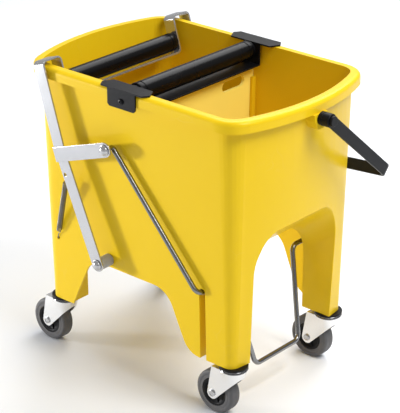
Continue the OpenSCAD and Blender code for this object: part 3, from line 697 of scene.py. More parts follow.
@dataclass
class Workshop:
    """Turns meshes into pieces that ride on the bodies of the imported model.

    Attributes:
        palette: Finishes.
        sharp: Angle in degrees above which edges of a copied node are rounded.
        flat: Angle in degrees below which neighbouring faces of a copied node are made one.
    """

    frame: dict
    palette: Palette
    sharp: float = 30.0
    flat: float = 0.5

    def body_of(self, node: str) -> str:
        """Finds the body that a node belongs to."""
        bodies = self.frame["record"]["behaviour"]["bodies"]
        return next(body for body, nodes in bodies.items() if node in nodes)

    def hinge(self, name: str) -> Vector:
        """Finds the place of a joint."""
        joints = self.frame["record"]["behaviour"]["joints"]
        return Vector(next(joint["pos_m"] for joint in joints if joint["name"] == name))

    def piece(self, name: str, mesh: BMesh, body: str | None, finish: Finish, sharp: float,
              replaces: Sequence[str], even: bool = False) -> Object:
        """Finishes a mesh as a piece of the object.

        Args:
            name: Name of the piece.
            mesh: The shape, which is freed.
            body: Body that it rides on, or None where it is left on no body.
            finish: Its finish.
            sharp: Angle in degrees above which an edge stays sharp.
            replaces: Nodes that it stands for.
            even: Whether the large faces settle the shading, so that they look flat.

        Returns:
            The new object.
        """
        for face in mesh.faces:
            face.smooth = True
        for edge in mesh.edges:
            if len(edge.link_faces) == 2:
                edge.smooth = edge.calc_face_angle(0.0) < math.radians(sharp)
        data = bpy.data.meshes.new(name)
        mesh.to_mesh(data)
        mesh.free()
        data.materials.append(self.palette.of(finish))
        thing = bpy.data.objects.new(name, data)
        bpy.context.scene.collection.objects.link(thing)
        if even:
            settle = thing.modifiers.new("even_shading", "WEIGHTED_NORMAL")
            settle.keep_sharp = True
        if body:
            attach(thing, body)
        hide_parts(*replaces)
        LOG.info("%s: %d faces on %s", name, len(data.polygons), body)
        return thing

    def softened(self, node: str, finish: Finish, width: float, segments: int = 2,
                 thin: float = 0.0) -> Object:
        """Replaces a node by a copy of it whose edges are rounded.

        Args:
            node: Node to copy.
            finish: Finish of the copy.
            width: Width of the rounding.
            segments: Steps of the rounding.
            thin: Height of sliver faces that are removed first, so that they don't narrow the rounding.

        Returns:
            The new object.
        """
        mesh = self.merged(node, thin)
        bevelled(mesh, sharp_edges(mesh.edges, self.sharp), width, segments, clamp=not thin)
        return self.piece(node + "_soft", mesh, self.body_of(node), finish, sharp=35, replaces=[node],
                          even=True)

    def merged(self, node: str, thin: float = 0.0) -> BMesh:
        """Joins a node's loose triangles and makes its flat faces whole.

        Args:
            node: Node to copy.
            thin: Height of sliver faces that are removed.

        Returns:
            The copy of the node's mesh.
        """
        mesh = bmesh.new()
        mesh.from_mesh(self.frame["nodes"][node].data)
        bmesh.ops.remove_doubles(mesh, verts=mesh.verts[:], dist=WELD)
        if thin:
            bmesh.ops.dissolve_degenerate(mesh, dist=thin, edges=mesh.edges[:])
        bmesh.ops.dissolve_limit(mesh, angle_limit=math.radians(self.flat), verts=mesh.verts[:],
                                 edges=mesh.edges[:], use_dissolve_boundaries=False)
        return mesh


# Stage


def aimed(place: Vector, target: Vector) -> Euler:
    """Finds the turn by which a camera or light at a place faces a point."""
    return (target - place).to_track_quat("-Z", "Y").to_euler()


@dataclass(frozen=True)
class Softbox:
    """A square soft light that faces a point.

    Attributes:
        name: Name of the light.
        place: Where it stands.
        target: Point that it faces.
        size: Length of its sides.
        power: Power in watts.
    """

    name: str
    place: Point
    target: Point
    size: float
    power: float

    def build(self) -> None:
        """Adds the light to the scene."""
        data = bpy.data.lights.new(self.name, "AREA")
        data.size = self.size
        data.energy = self.power
        thing = bpy.data.objects.new(self.name, data)
        thing.location = self.place
        thing.rotation_euler = aimed(Vector(self.place), Vector(self.target))
        bpy.context.scene.collection.objects.link(thing)


@dataclass
class Studio:
    """Floor, lights, sky and camera.

    Attributes:
        eye: Place of the camera.
        target: Point that it looks at.
        lens: Focal length in millimetres.
        sensor: Width of the sensor in millimetres.
        floor_half: Half length of the floor.
        floor_tone: Colour of the floor.
        floor_rough: Roughness of the floor.
        floor_specular: Strength of its mirror part.
        sky_strength: Strength of the even light from all around.
        lights: Soft lights: low along the near wall, high over the pedal end, and high behind.
    """

    eye: Point = (1.8256, -2.0783, 1.5369)
    target: Point = (0.0102, 0.0, 0.2926)
    lens: float = 149.67
    sensor: float = 36.0
    floor_half: float = 30.0
    floor_tone: Colour = (0.83, 0.85, 0.885)
    floor_rough: float = 0.75
    floor_specular: float = 0.15
    sky_strength: float = 0.40
    lights: tuple[Softbox, ...] = (
        Softbox("key", place=(-2.5, -1.65, 0.32), target=(0, 0, 0.38), size=0.30, power=76.0),
        Softbox("end", place=(1.75, 0.0, 2.65), target=(0, 0, 0.45), size=1.2, power=66.0),
        Softbox("back", place=(-0.5, 1.7, 2.7), target=(0, 0, 0.3), size=2.4, power=80.0))

    def build(self) -> None:
        """Makes the whole stage."""
        self.camera()
        self.floor()
        self.sky()
        for light in self.lights:
            light.build()

    def camera(self) -> None:
        """Sets the camera at the photograph's angle."""
        data = bpy.data.cameras.new("camera")
        data.lens = self.lens
        data.sensor_width = self.sensor
        thing = bpy.data.objects.new("camera", data)
        thing.location = self.eye
        thing.rotation_euler = aimed(Vector(self.eye), Vector(self.target))
        bpy.context.scene.collection.objects.link(thing)
        bpy.context.scene.camera = thing

    def floor(self) -> None:
        """Lays a plain pale floor."""
        mesh = bmesh.new()
        bmesh.ops.create_grid(mesh, x_segments=1, y_segments=1, size=self.floor_half)
        data = bpy.data.meshes.new("floor")
        mesh.to_mesh(data)
        mesh.free()
        material = bpy.data.materials.new("pale_floor")
        material.use_nodes = True
        shader = material.node_tree.nodes["Principled BSDF"].inputs
        shader["Base Color"].default_value = (*self.floor_tone, 1.0)
        shader["Roughness"].default_value = self.floor_rough
        shader["Specular IOR Level"].default_value = self.floor_specular
        data.materials.append(material)
        thing = bpy.data.objects.new("floor", data)
        bpy.context.scene.collection.objects.link(thing)

    def sky(self) -> None:
        """Fills the room with even white light."""
        world = bpy.data.worlds.new("studio")
        world.use_nodes = True
        back = world.node_tree.nodes["Background"].inputs
        back["Color"].default_value = (1.0, 1.0, 1.0, 1.0)
        back["Strength"].default_value = self.sky_strength
        bpy.context.scene.world = world
        bpy.context.scene.view_settings.view_transform = "Standard"


# Sub-assemblies


@dataclass
class Tub:
    """The moulded tub and its divider.

    Attributes:
        shop: Workshop that makes the pieces.
        rim: Rounding of the rim's upper edges, outside and inside.
        lip: Height of the lip.
        lip_edge: Rounding of the lip's lower edge.
        jamb: Rounding of the edges of the end arches.
        arch_half: Half width within which the end arches lie.
        arch_top: Height below which they lie.
        arch_depth: How far in from the end face their outer edges may lie.
        foot_half: Half length of the moulding at its feet.
        rim_half: Half length of the moulding's walls at its rim.
        facing: How squarely a face looks along the length to count as an end face.
        edge: Rounding of the moulding's other edges.
        panel_edge: Rounding of the divider's edges.
        step: Height between the cuts that carry the shading down the walls.
        slack: How far from its height an edge of the rim or lip may lie.
    """

    shop: Workshop
    rim: tuple[float, float] = (8 * MM, 4.5 * MM)
    lip: float = 20 * MM
    lip_edge: float = 3.0 * MM
    jamb: float = 10 * MM
    arch_half: float = 111 * MM
    arch_top: float = 340 * MM
    arch_depth: float = 14 * MM
    foot_half: float = 225 * MM
    rim_half: float = 253 * MM
    facing: float = 0.9
    edge: float = 1.6 * MM
    panel_edge: float = 1.2 * MM
    step: float = 30 * MM
    slack: float = 0.1 * MM

    def build(self) -> None:
        """Rounds the moulding's edges and dresses it."""
        mesh = self.shop.merged("tub_body")
        low, high = span("tub_body", 2)
        for outside, width in zip((True, False), self.rim):
            upper = [e for e in mesh.edges if self.on_rim(e, high) is outside]
            self.rounded(mesh, upper, width, segments=6)
        lip = high - self.lip
        under = [e for e in mesh.edges if self.on_rim(e, lip) and e.verts[0].co.z < lip + self.slack]
        self.rounded(mesh, under, self.lip_edge, segments=4)
        arches = [e for e in mesh.edges if self.on_arch(e, low, high)]
        self.rounded(mesh, arches, self.jamb, segments=5)
        self.rounded(mesh, mesh.edges, self.edge, segments=3)
        level = low + self.step
        while level < high - self.step:
            cut(mesh, Vector((0, 0, level)), Vector((0, 0, 1)), clear=False)
            level += self.step
        self.shop.piece("tub_body_soft", mesh, "tub", YELLOW, sharp=35, replaces=["tub_body"], even=True)
        # The divider takes the lighter copy of the yellow, which paints in the light that falls on it.
        self.shop.softened("divider_panel", PAINTED_LIGHT_YELLOW, self.panel_edge, segments=3)

    def on_rim(self, edge: BMEdge, top: float) -> bool | None:
        """Tells on which side of the rim an edge lies.

        Args:
            edge: Edge of the moulding.
            top: Height of the rim's edges.

        Returns:
            True for an outer edge, False for an inner edge, and None for an edge that lies lower.
        """
        if min(v.co.z for v in edge.verts) < top - self.slack:
            return None
        place = (edge.verts[0].co + edge.verts[1].co) / 2
        side = min(edge.link_faces, key=lambda f: abs(f.normal.z)).normal
        return side.x * place.x + side.y * place.y > 0

    def on_arch(self, edge: BMEdge, low: float, high: float) -> bool:
        """Tells whether an edge runs round an end arch on the outside of the moulding.

        Args:
            edge: Edge of the moulding.
            low: Height of the moulding's feet.
            high: Height of its rim.

        Returns:
            Whether it does.
        """
        place = (edge.verts[0].co + edge.verts[1].co) / 2
        outside = self.foot_half + (self.rim_half - self.foot_half) * (place.z - low) / (high - low)
        in_arch = abs(place.y) < self.arch_half and place.z < self.arch_top
        at_face = any(abs(face.normal.x) > self.facing for face in edge.link_faces)
        return in_arch and at_face and abs(place.x) > outside - self.arch_depth

    def rounded(self, mesh: BMesh, edges: Iterable[BMEdge], width: float, segments: int) -> None:
        """Rounds those of some edges that turn sharply."""
        bevelled(mesh, sharp_edges(edges, self.shop.sharp), width, segments)


@dataclass
class Roller:
    """A wringer roller with turned rings near its ends, on bushes and an axle.

    Attributes:
        shop: Workshop that makes the pieces.
        mount: Whether it is the fixed or the moving one.
        wall: Thickness of the cover.
        edge: Rounding of its ends.
        ring: Distance of the turned ring from the roller's end.
        ring_width: Width of the ring.
        ring_depth: Depth of the ring.
        ring_flank: Width of the ring's slanted flanks.
        bush_edge: Rounding of the bushes.
        axle_edge: Rounding of the axle.
        nut_edge: Rounding of the nuts.
    """

    shop: Workshop
    mount: Mount
    wall: float = 5 * MM
    edge: float = 1.5 * MM
    ring: float = 10 * MM
    ring_width: float = 3.0 * MM
    ring_depth: float = 1.0 * MM
    ring_flank: float = 0.6 * MM
    bush_edge: float = 0.6 * MM
    axle_edge: float = 0.8 * MM
    nut_edge: float = 0.7 * MM

    def build(self) -> None:
        """Makes the roller, its bushes, axle and nuts."""
        label = self.mount.value
        node = label + "_roller"
        mesh = turned(both_ends(self.half_profile(node)), middle(node), Vector((0, 1, 0)), steps=64)
        self.shop.piece(node + "_cover", mesh, self.shop.body_of(node), ROLLER, sharp=40, replaces=[node])
        self.shop.softened(label + "_bushes", BLACK_PLASTIC, self.bush_edge)
        self.shop.softened(label + "_axle", ZINC, self.axle_edge)
        self.shop.softened(label + "_axle_nuts", ZINC, self.nut_edge)

    def half_profile(self, node: str) -> Profile:
        """Draws half of the cover, from its end inwards.

        Args:
            node: Node that the cover stands for.

        Returns:
            Points as distance from the middle and radius.
        """
        low, high = span(node, 2)
        radius = (high - low) / 2
        end = span(node, 1)[1] - middle(node).y
        ring, far, floor = end - self.ring, end - self.ring - self.ring_width, radius - self.ring_depth
        return [(end, radius - self.wall), (end, radius - self.edge),
                (end - self.edge / 3, radius - self.edge / 3), (end - self.edge, radius), (ring, radius),
                (ring - self.ring_flank, floor), (far + self.ring_flank, floor), (far, radius)]


@dataclass
class Bracket:
    """The pressed bracket that carries the fixed roller over the rim.

    Attributes:
        shop: Workshop that makes the pieces.
        edge: Rounding of the bracket's edges.
        shank: Length of the screws with their heads.
        shank_radius: Radius of their shanks.
        head: Height of their heads.
        dimple: Depth of the dimple in a head.
    """

    shop: Workshop
    edge: float = 1.0 * MM
    shank: float = 13 * MM
    shank_radius: float = 2.6 * MM
    head: float = 3 * MM
    dimple: float = 1.4 * MM

    def build(self) -> None:
        """Rounds the bracket's edges and makes its screws."""
        self.shop.softened("fixed_frame", BLACK_STEEL, self.edge)
        self.screws()

    def screws(self) -> None:
        """Makes the two pan-head screws, with a dimple in their heads."""
        low, high = span("frame_screws", 2)
        radius = (high - low) / 2
        profile = [(-self.shank, 0.0), (-self.shank, self.shank_radius), (-self.head, self.shank_radius),
                   (-self.head, radius), (-1.6 * MM, radius), (-0.5 * MM, radius * 0.78),
                   (0.0, radius * 0.42), (0.0, radius * 0.30), (-self.dimple, radius * 0.2),
                   (-self.dimple, 0.0)]
        parts = []
        for side, face in zip(Side, span("frame_screws", 1)):
            base = middle("frame_screws")
            base.y = face
            parts.append(turned(profile, base, Vector((0, side.value, 0)), steps=24))
        self.shop.piece("frame_screw_heads", joined(parts), "tub", BLACK_STEEL, sharp=30,
                        replaces=["frame_screws"])


@dataclass
class Yoke:
    """The bent strip that carries the moving roller, with its links and pivots.

    Attributes:
        shop: Workshop that makes the pieces.
        edge: Rounding of the strips and pins.
        sliver: Height of the thin faces that are removed from the bent strip.
        spacer_edge: Rounding of the spacers.
        nut_edge: Rounding of the nuts.
        cap: Height of the push-on caps.
        cap_rim: Height of their rolled rim.
        cap_bore: Depth of their bore.
        dome: Angle in degrees that their dome spans from its top.
        dome_steps: Steps of the dome.
    """

    shop: Workshop
    edge: float = 0.8 * MM
    sliver: float = 0.1 * MM
    spacer_edge: float = 1.0 * MM
    nut_edge: float = 0.7 * MM
    cap: float = 7 * MM
    cap_rim: float = 2 * MM
    cap_bore: float = 5 * MM
    dome: float = 78.0
    dome_steps: int = 8

    def build(self) -> None:
        """Rounds the strips and makes the pivots."""
        self.shop.softened("yoke_strip", ZINC, self.edge, thin=self.sliver)
        for side in Side:
            self.shop.softened("link_" + side.label, ZINC, self.edge)
        self.shop.softened("pivot_spacers", GREY_PLASTIC, self.spacer_edge)
        self.shop.softened("pivot_pins", ZINC, self.edge)
        self.shop.softened("pivot_nuts", ZINC, self.nut_edge)
        self.caps("pivot_caps", "tub")
        self.caps("pedal_caps", "pedal")

    def caps(self, node: str, body: str) -> None:
        """Makes a pair of domed push-on caps.

        Args:
            node: Node that holds both caps.
            body: Body that they ride on.
        """
        low, high = span(node, 2)
        profile = self.cap_profile((high - low) / 2)
        parts = []
        for side, face in zip(Side, span(node, 1)):
            top = middle(node)
            top.y = face
            parts.append(turned(profile, top, Vector((0, side.value, 0)), steps=32))
        self.shop.piece(node + "_domes", joined(parts), body, ZINC, sharp=40, replaces=[node])

    def cap_profile(self, radius: float) -> Profile:
        """Draws a cap from the top of its dome, round its rolled rim, to its bore.

        Args:
            radius: Radius of the rim.

        Returns:
            Points as height from the top and radius.
        """
        whole = math.radians(self.dome)
        dome = [(0.0, 0.0)]
        for step in range(1, self.dome_steps + 1):
            turn = whole * step / self.dome_steps
            fall = (self.cap - self.cap_rim) * (1 - math.cos(turn)) / (1 - math.cos(whole))
            dome.append((-fall, radius * 0.86 * math.sin(turn) / math.sin(whole)))
        foot, bore = -self.cap, radius * 0.52
        return dome + [(foot + 1.9 * MM, radius * 0.93), (foot + 1.3 * MM, radius), (foot + 0.5 * MM, radius),
                       (foot, radius * 0.95), (foot, bore), (foot + self.cap_bore, bore),
                       (foot + self.cap_bore, 0.0)]


@dataclass
class Pedal:
    """The bent pedal rod, drawn on the far side and mirrored to the near one.

    Attributes:
        shop: Workshop that makes the pieces.
        radius: Radius of the rod.
        bend: Radius of its bends at the middle of the rod.
        inside: Where the rod turns down, inside the link, across the width.
        elbow: Corner where the rod turns in through the leg's slot.
        behind: Where the rod turns down again, inside the leg, across the width.
        bar: End of the foot bar.
    """

    shop: Workshop
    radius: float = 4.5 * MM
    bend: float = 14 * MM
    inside: float = 170.5 * MM
    elbow: Point = (151 * MM, 167.1 * MM, 230 * MM)
    behind: float = 86 * MM
    bar: Point = (190 * MM, 60 * MM, 67 * MM)

    def build(self) -> None:
        """Sweeps the rod from one link to the other."""
        pin = self.shop.hinge("pedal_hinge")
        end = span("pedal_stirrup", 1)[1]
        elbow = Vector(self.elbow)
        half = [Vector((pin.x, end, pin.z)), Vector((pin.x, self.inside, pin.z)), elbow,
                Vector((elbow.x, self.behind, elbow.z)), Vector(self.bar)]
        whole = half + [Vector((p.x, -p.y, p.z)) for p in reversed(half)]
        radii = [self.radius] + [self.bend] * (len(whole) - 4) + [self.radius]
        mesh = tube(rounded_path(whole, radii), self.radius, sides=24)
        self.shop.piece("pedal_rod", mesh, "pedal", ROD, sharp=50, replaces=["pedal_stirrup"])


@dataclass
class Spring:
    """A return spring, wound from one wire that ends in a hook at both ends.

    Attributes:
        shop: Workshop that makes the pieces.
        side: Long side that it hangs on.
        lean: Angle in degrees by which the yoke's arm leans back.
        eye: Distance of the upper hook from the yoke's pivot, along the arm.
        eye_off: Distance of the upper hook from the arm's middle, towards its back edge.
        eye_y: Where the spring leaves the arm, across the width.
        foot: Point where it enters the tub's wall on the far side.
        wire: Diameter of the wire.
        coil: Diameter of the coil at the middle of the wire.
        length: Length of the coiled part.
        hook: Length of the wire inside the arm and the wall.
        turns: Number of turns.
        steps: Steps of one turn.
    """

    shop: Workshop
    side: Side
    lean: float = 23.4
    eye: float = 166 * MM
    eye_off: float = 6 * MM
    eye_y: float = 182.4 * MM
    foot: Point = (-189 * MM, 157.11 * MM, 226 * MM)
    wire: float = 1.6 * MM
    coil: float = 8.4 * MM
    length: float = 118 * MM
    hook: float = 5.1 * MM
    turns: int = 42
    steps: int = 14

    def top(self) -> Vector:
        """Finds the point where the spring leaves the yoke's arm on the far side.

        Returns:
            The point.
        """
        lean = math.radians(self.lean)
        up = Vector((-math.sin(lean), 0, math.cos(lean)))
        ahead = Vector((math.cos(lean), 0, math.sin(lean)))
        place = self.shop.hinge("yoke_hinge") + up * self.eye - ahead * self.eye_off
        place.y = self.eye_y
        return place

    def build(self) -> None:
        """Winds the spring and stretches it between the arm and the wall."""
        flip = Vector((1, self.side.value, 1))
        top, foot = self.top(), Vector(self.foot)
        along = (foot - top).normalized()
        across = along.cross(Vector((0, 1, 0))).normalized()
        up = along.cross(across)
        lead = ((foot - top).length - self.length) / 2
        inwards = Vector((0, self.hook, 0))
        path = rounded_path([top + inwards, top, top + along * lead / 2], [self.wire], steps=4)
        count = self.turns * self.steps
        for step in range(count + 1):
            turn = math.tau * step / self.steps
            way = lead + self.length * step / count
            path.append(top + along * way + (across * math.cos(turn) + up * math.sin(turn)) * self.coil / 2)
        path += rounded_path([foot - along * lead / 2, foot, foot - inwards], [self.wire], steps=4)
        mesh = tube([p * flip for p in path], self.wire / 2, sides=8)
        node = "return_spring_" + self.side.label
        piece = self.shop.piece(node + "_wire", mesh, None, WIRE, sharp=50, replaces=[node])
        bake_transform(piece)


@dataclass
class Bail:
    """The swinging carrying bail, bent from one strap, with turned eyes and shoulder screws.

    Attributes:
        shop: Workshop that makes the pieces.
        eye: Where the eyes start and end along the length, from the middle.
        eye_radius: Outer radius of the eyes.
        eye_edge: Rounding of the eyes and depth of the groove round them.
        groove: Distance of the groove from the start of an eye.
        groove_width: Width of the groove.
        groove_flank: Width of its slanted flanks.
        bore: Radius of the eyes' bores.
        arm: Length of the straight arms.
        grip: Half length of the grip.
        reach: Distance of the grip from the axis.
        width: Width of the strap.
        thick: Thickness of the strap.
        bend: Radius of the bends.
        strap_edge: Rounding of the strap.
        screw_edge: Rounding of the shoulder screws.
    """

    shop: Workshop
    eye: tuple[float, float] = (270.8 * MM, 292.8 * MM)
    eye_radius: float = 11.8 * MM
    eye_edge: float = 0.8 * MM
    groove: float = 7 * MM
    groove_width: float = 2.4 * MM
    groove_flank: float = 0.6 * MM
    bore: float = 5.2 * MM
    arm: float = 218 * MM
    grip: float = 150 * MM
    reach: float = 258 * MM
    width: float = 21 * MM
    thick: float = 6 * MM
    bend: float = 15 * MM
    strap_edge: float = 1.8 * MM
    screw_edge: float = 1.2 * MM

    def build(self) -> None:
        """Makes the strap with its eyes, and the screws."""
        mesh = joined([self.bent_strap()] + [self.turned_eye(end) for end in (-1, 1)])
        axis = self.shop.hinge("bail_hinge")
        hang = Matrix.Translation(axis) @ Matrix.Rotation(-self.drop(axis.z), 4, "X")
        bmesh.ops.transform(mesh, matrix=hang, verts=mesh.verts[:])
        self.shop.piece("bail_strap", mesh, "bail", BLACK_PLASTIC, sharp=35, replaces=["bail_handle"],
                        even=True)
        self.shop.softened("bail_pins", BLACK_PLASTIC, self.screw_edge, segments=3)

    def drop(self, height: float) -> float:
        """Finds how far the bail hangs down at rest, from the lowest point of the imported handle.

        Args:
            height: Height of the bail's axis.

        Returns:
            The angle from level.
        """
        corner = Vector((self.reach + self.thick / 2, self.width / 2))
        fall = height - span("bail_handle", 2)[0]
        return math.asin(fall / corner.length) - math.atan2(corner.y, corner.x)

    def bent_strap(self) -> BMesh:
        """Bends the strap flat, before it hangs down, and rounds its edges.

        Returns:
            The strap.
        """
        out, low = self.eye[1] - self.thick / 2, -self.width / 2
        half = [Vector((out, 0, low)), Vector((out, self.arm, low)), Vector((self.grip, self.reach, low))]
        whole = half + [Vector((-p.x, p.y, p.z)) for p in reversed(half)]
        line = rounded_path(whole, [self.bend] * (len(whole) - 2), steps=6)
        mesh = bmesh.new()
        verts, _ = extruded(mesh, drawn_line(mesh, line))
        bmesh.ops.translate(mesh, vec=(0, 0, self.width), verts=verts)
        bmesh.ops.recalc_face_normals(mesh, faces=mesh.faces[:])
        mesh.normal_update()
        shift = [(vert, vert.normal * self.thick / 2) for vert in mesh.verts]
        for vert, by in shift:
            vert.co += by
        bmesh.ops.solidify(mesh, geom=mesh.faces[:], thickness=self.thick)
        bmesh.ops.recalc_face_normals(mesh, faces=mesh.faces[:])
        bevelled(mesh, sharp_edges(mesh.edges, angle=60), self.strap_edge, segments=3)
        return mesh

    def turned_eye(self, end: int) -> BMesh:
        """Turns one eye, with a groove round it.

        Args:
            end: Sign of the end that it is at.

        Returns:
            The eye.
        """
        start, stop = self.eye
        near = start + self.groove
        far = near + self.groove_width
        radius, low = self.eye_radius, self.eye_radius - self.eye_edge
        profile = [(start, self.bore), (start, low), (start + self.eye_edge, radius), (near, radius),
                   (near + self.groove_flank, low), (far - self.groove_flank, low), (far, radius),
                   (stop - self.eye_edge, radius), (stop, low), (stop, self.bore)]
        return turned(profile, Vector(), Vector((end, 0, 0)), steps=40)


@dataclass
class Caster:
    """One swivel caster under a leg, modelled about its swivel axis with the wheel trailing towards -X.

    Attributes:
        shop: Workshop that makes the pieces.
        corner: Leg that it stands under.
        insert_edge: Rounding of the leg's insert.
        half_width: Half of the fork's outer width.
        sheet: Thickness of the fork's sheet.
        crown: Radius of the fork's round crown.
        crown_turn: Angle in degrees that the crown spans to either side of the front.
        cheek: Where the fork's cheeks start and end behind the swivel axis, before they are cut.
        flare: Where the cheeks widen to the crown behind the swivel axis, and by how much.
        neck: How far behind the swivel axis the folds narrow the fork.
        folds: Height of each fold of the fork, with its narrowing across and along.
        eye: Radius of the fork's ends about the axle.
        eye_turn: First angle in degrees of the round ends, and the angle that they span.
        front_turn: Angle in degrees at which the cheeks' front edges meet the round ends.
        cheek_top: How far the cheeks' back edges pass the axle, and their front edges the crown's top.
        ribs: Number of ribs in each dish of the hub.
        rib: Length, width and height of a rib.
        rib_edge: Rounding of a rib.
        rib_place: Distance of a rib's middle from the axle and from the wheel's middle.
        shoulder: Radius of the tyre's shoulders.
        tread_half: Half width of the tyre.
        stand: Place and turn of the caster.
        axle: Middle of the axle before that turn.
    """

    shop: Workshop
    corner: Corner
    insert_edge: float = 0.8 * MM
    half_width: float = 16.5 * MM
    sheet: float = 2.6 * MM
    crown: float = 22.5 * MM
    crown_turn: float = 76.0
    cheek: tuple[float, float] = (14 * MM, 46 * MM)
    flare: tuple[float, float] = (6 * MM, 4 * MM)
    neck: float = 10 * MM
    folds: tuple[tuple[float, float, float], ...] = (
        (3 * MM, 1.0, 1.0), (18 * MM, 0.74, 0.82), (48 * MM, 1.0, 1.0))
    eye: float = 11 * MM
    eye_turn: tuple[float, float] = (-172.0, 126.0)
    front_turn: float = -50.0
    cheek_top: tuple[float, float] = (2 * MM, 9 * MM)
    ribs: int = 5
    rib: tuple[float, float, float] = (11 * MM, 3 * MM, 2 * MM)
    rib_edge: float = 0.5 * MM
    rib_place: tuple[float, float] = (15.6 * MM, 8 * MM)
    shoulder: float = 5 * MM
    tread_half: float = 12 * MM
    stand: Matrix = field(init=False)
    axle: Vector = field(init=False)

    def __post_init__(self) -> None:
        """Finds the caster's place and turn from its race and its hub."""
        race, hub = middle("swivel_race_" + self.corner.value), middle("hub_" + self.corner.value)
        trailing = Vector((hub.x - race.x, hub.y - race.y, 0))
        turn = math.atan2(-trailing.y, -trailing.x)
        self.stand = Matrix.Translation((race.x, race.y, 0)) @ Matrix.Rotation(turn, 4, "Z")
        self.axle = Vector((-trailing.length, 0, hub.z))

    def build(self) -> None:
        """Makes the insert, race, fork, rivet and wheel."""
        self.shop.softened("leg_insert_" + self.corner.value, BLACK_PLASTIC, self.insert_edge)
        self.made("swivel_race", "cups", self.race(), RACE)
        # The fork takes the lighter copy of the zinc, which is painted light.
        self.made("fork", "pressing", self.fork(), FORK_PAINTED_LIGHT, sharp=22.0)
        self.made("axle_bolt", "rivet", self.rivet(), ZINC)
        self.made("hub", "moulding", self.hub(), BLACK_PLASTIC)
        self.made("tyre", "tread", self.tyre(), TYRE)

    def made(self, kind: str, form: str, mesh: BMesh, finish: Finish, sharp: float = 40.0) -> None:
        """Stands a mesh under its leg as the piece that replaces a node.

        Args:
            kind: First part of the node's name.
            form: Last part of the piece's name.
            mesh: The shape about the swivel axis.
            finish: Its finish.
            sharp: Angle in degrees above which an edge stays sharp.
        """
        bmesh.ops.transform(mesh, matrix=self.stand, verts=mesh.verts[:])
        node = f"{kind}_{self.corner.value}"
        self.shop.piece(f"{node}_{form}", mesh, self.shop.body_of(node), finish, sharp, replaces=[node])

    def wheel_part(self, half: Profile, steps: int) -> BMesh:
        """Turns a part about the axle from half of its profile in millimetres."""
        return turned(both_ends([(a * MM, r * MM) for a, r in half]), self.axle, Vector((0, 1, 0)), steps)

    def race(self) -> BMesh:
        """Turns the two cups of the swivel bearing with their pin.

        Returns:
            The race.
        """
        low, high = span("swivel_race_" + self.corner.value, 2)
        pin = [(0, 0), (0, 7), (0.6, 8), (2.8, 8), (2.8, 5), (6.6, 5)]
        lower_cup = [(6.6, 18), (7.0, 22.4), (7.8, 24.2), (8.9, 25), (10.0, 24.5), (10.4, 23.4)]
        upper_cup = [(10.8, 24.1), (11.7, 24.4), (12.6, 23.6), (12.6, 4)]
        points = [(low + z * MM, r * MM) for z, r in pin + lower_cup + upper_cup]
        points += [(high, 4 * MM), (high, 0.0)]
        return turned(points, Vector(), Vector((0, 0, 1)), steps=48)

    def fork(self) -> BMesh:
        """Folds the fork from one sheet: a round crown in front and two cheeks that narrow to the axle.

        Returns:
            The fork.
        """
        top = span("fork_" + self.corner.value, 2)[1]
        mesh = bmesh.new()
        edges = drawn_line(mesh, [(x, y, top) for x, y in self.fork_plan()])
        for drop, narrow, short in self.folds:
            verts, edges = extruded(mesh, edges)
            for vert in verts:
                vert.co.z -= drop
                if vert.co.x > -self.neck:
                    vert.co.y *= narrow
                    vert.co.x *= short if vert.co.x > 0 else 1.0
        for place, out in self.fork_cuts(top):
            cut(mesh, place, out, clear=True)
        rim = [e for e in mesh.edges if e.is_boundary and min(v.co.z for v in e.verts) > top - 10 * WELD]
        ends = sorted({v for e in rim for v in e.verts}, key=lambda v: v.co.x)[:2]
        rim.append(mesh.edges.new(ends))
        bmesh.ops.edgeloop_fill(mesh, edges=rim)
        bmesh.ops.recalc_face_normals(mesh, faces=mesh.faces[:])
        if max(mesh.faces, key=lambda f: f.calc_center_median().z).normal.z < 0:
            bmesh.ops.reverse_faces(mesh, faces=mesh.faces[:])
        bmesh.ops.solidify(mesh, geom=mesh.faces[:], thickness=self.sheet)
        return mesh

    def fork_plan(self, steps: int = 12) -> list[tuple[float, float]]:
        """Draws the fork's edge from above, from the end of one cheek round the crown to the other.

        Args:
            steps: Steps of the crown.

        Returns:
            Points of the line.
        """
        turns = [math.radians(self.crown_turn) * (2 * i / steps - 1) for i in range(steps + 1)]
        arc = [(self.crown * math.cos(turn), self.crown * math.sin(turn)) for turn in turns]
        (start, end), (flare, wider) = self.cheek, self.flare
        side = [(-end, self.half_width), (-start, self.half_width), (-flare, self.half_width + wider)]
        return [(x, -y) for x, y in side] + arc + side[::-1]

    def fork_cuts(self, top: float, steps: int = 9) -> list[tuple[Vector, Vector]]:
        """Places the cuts that narrow the cheeks towards the axle and round their ends.

        Args:
            top: Height of the fork's crown.
            steps: Steps of the round end.

        Returns:
            A point of each cut and the direction that it faces.
        """
        slant = math.radians(self.front_turn)
        front = Vector((math.cos(slant), 0, math.sin(slant))) * self.eye + self.axle
        back = Vector((-self.eye, 0, 0)) + self.axle
        behind, below = self.cheek_top
        crown_back = Vector((self.axle.x - behind, 0, top))
        crown_front = Vector((self.crown, 0, top - below))
        first, whole = self.eye_turn
        cuts = [(front, Vector((crown_front.z - front.z, 0, front.x - crown_front.x))),
                (back, Vector((back.z - crown_back.z, 0, crown_back.x - back.x)))]
        for step in range(steps + 1):
            turn = math.radians(first + whole * step / steps)
            out = Vector((math.cos(turn), 0, math.sin(turn)))
            cuts.append((self.axle + out * self.eye, out))
        return cuts

    def rivet(self) -> BMesh:
        """Turns the rivet that carries the wheel, with a ring and a dimple in both heads.

        Returns:
            The rivet.
        """
        low, high = span("axle_bolt_" + self.corner.value, 2)
        head = (high - low) / 2 / MM
        dimple = [(19.5, 0.0), (18.8, 1.2), (18.8, 3.2), (19.4, 3.7)]
        rim = [(19.4, 5.0), (18.6, 6.2), (17.4, head), (16.6, head), (16.6, 4.0)]
        return self.wheel_part(dimple + rim, steps=32)

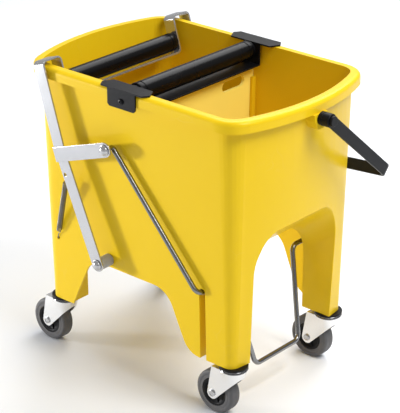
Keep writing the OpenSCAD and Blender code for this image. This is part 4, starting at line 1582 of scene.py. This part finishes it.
    def hub(self) -> BMesh:
        """Turns the wheel's black core and sets ribs in both of its dishes.

        Returns:
            The core.
        """
        boss = [(13.2, 4.2), (13.2, 9.4), (12.6, 10.2), (7.4, 11.2)]
        dish = [(7.0, 12.4), (7.4, 18.8), (8.4, 20.4)]
        rim = [(10.6, 21.6), (11.0, 22.4), (11.0, 25.4), (10.4, 26.0)]
        parts = [self.wheel_part(boss + dish + rim, steps=64)]
        out, off = self.rib_place
        for side in Side:
            for step in range(self.ribs):
                rib = bmesh.new()
                bmesh.ops.create_cube(rib, size=1.0)
                bmesh.ops.scale(rib, vec=self.rib, verts=rib.verts[:])
                bevelled(rib, rib.edges[:], self.rib_edge, segments=2, clamp=False)
                turn = Matrix.Rotation(math.tau * step / self.ribs, 4, "Y")
                place = Matrix.Translation(self.axle) @ turn @ Matrix.Translation((out, side.value * off, 0))
                bmesh.ops.transform(rib, matrix=place, verts=rib.verts[:])
                parts.append(rib)
        return joined(parts)

    def tyre(self, steps: int = 6) -> BMesh:
        """Turns the grey tyre, with round shoulders, a moulding line and a step in its walls.

        Args:
            steps: Steps of a shoulder.

        Returns:
            The tyre.
        """
        tread, half, round_off = self.axle.z / MM, self.tread_half / MM, self.shoulder / MM
        wall = [(half, 26.1), (half, 30.4), (half - 0.4, 30.8), (half - 0.4, 32.0), (half, 32.4),
                (half, tread - round_off)]
        for step in range(1, steps + 1):
            turn = math.pi / 2 * step / steps
            wall.append((half - round_off * (1 - math.cos(turn)), tread - round_off * (1 - math.sin(turn))))
        moulding_line = [(0.7, tread), (0.3, tread - 0.35)]
        return self.wheel_part(wall + moulding_line, steps=72)


def main() -> None:
    """Builds the whole scene."""
    logging.basicConfig(level=logging.INFO, format="%(name)s: %(message)s")
    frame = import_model()
    Studio().build()
    shop = Workshop(frame, Palette())
    Tub(shop).build()
    Bracket(shop).build()
    for mount in Mount:
        Roller(shop, mount).build()
    Yoke(shop).build()
    Pedal(shop).build()
    for side in Side:
        Spring(shop, side).build()
    Bail(shop).build()
    for corner in Corner:
        Caster(shop, corner).build()


if __name__ == "__main__":
    main()
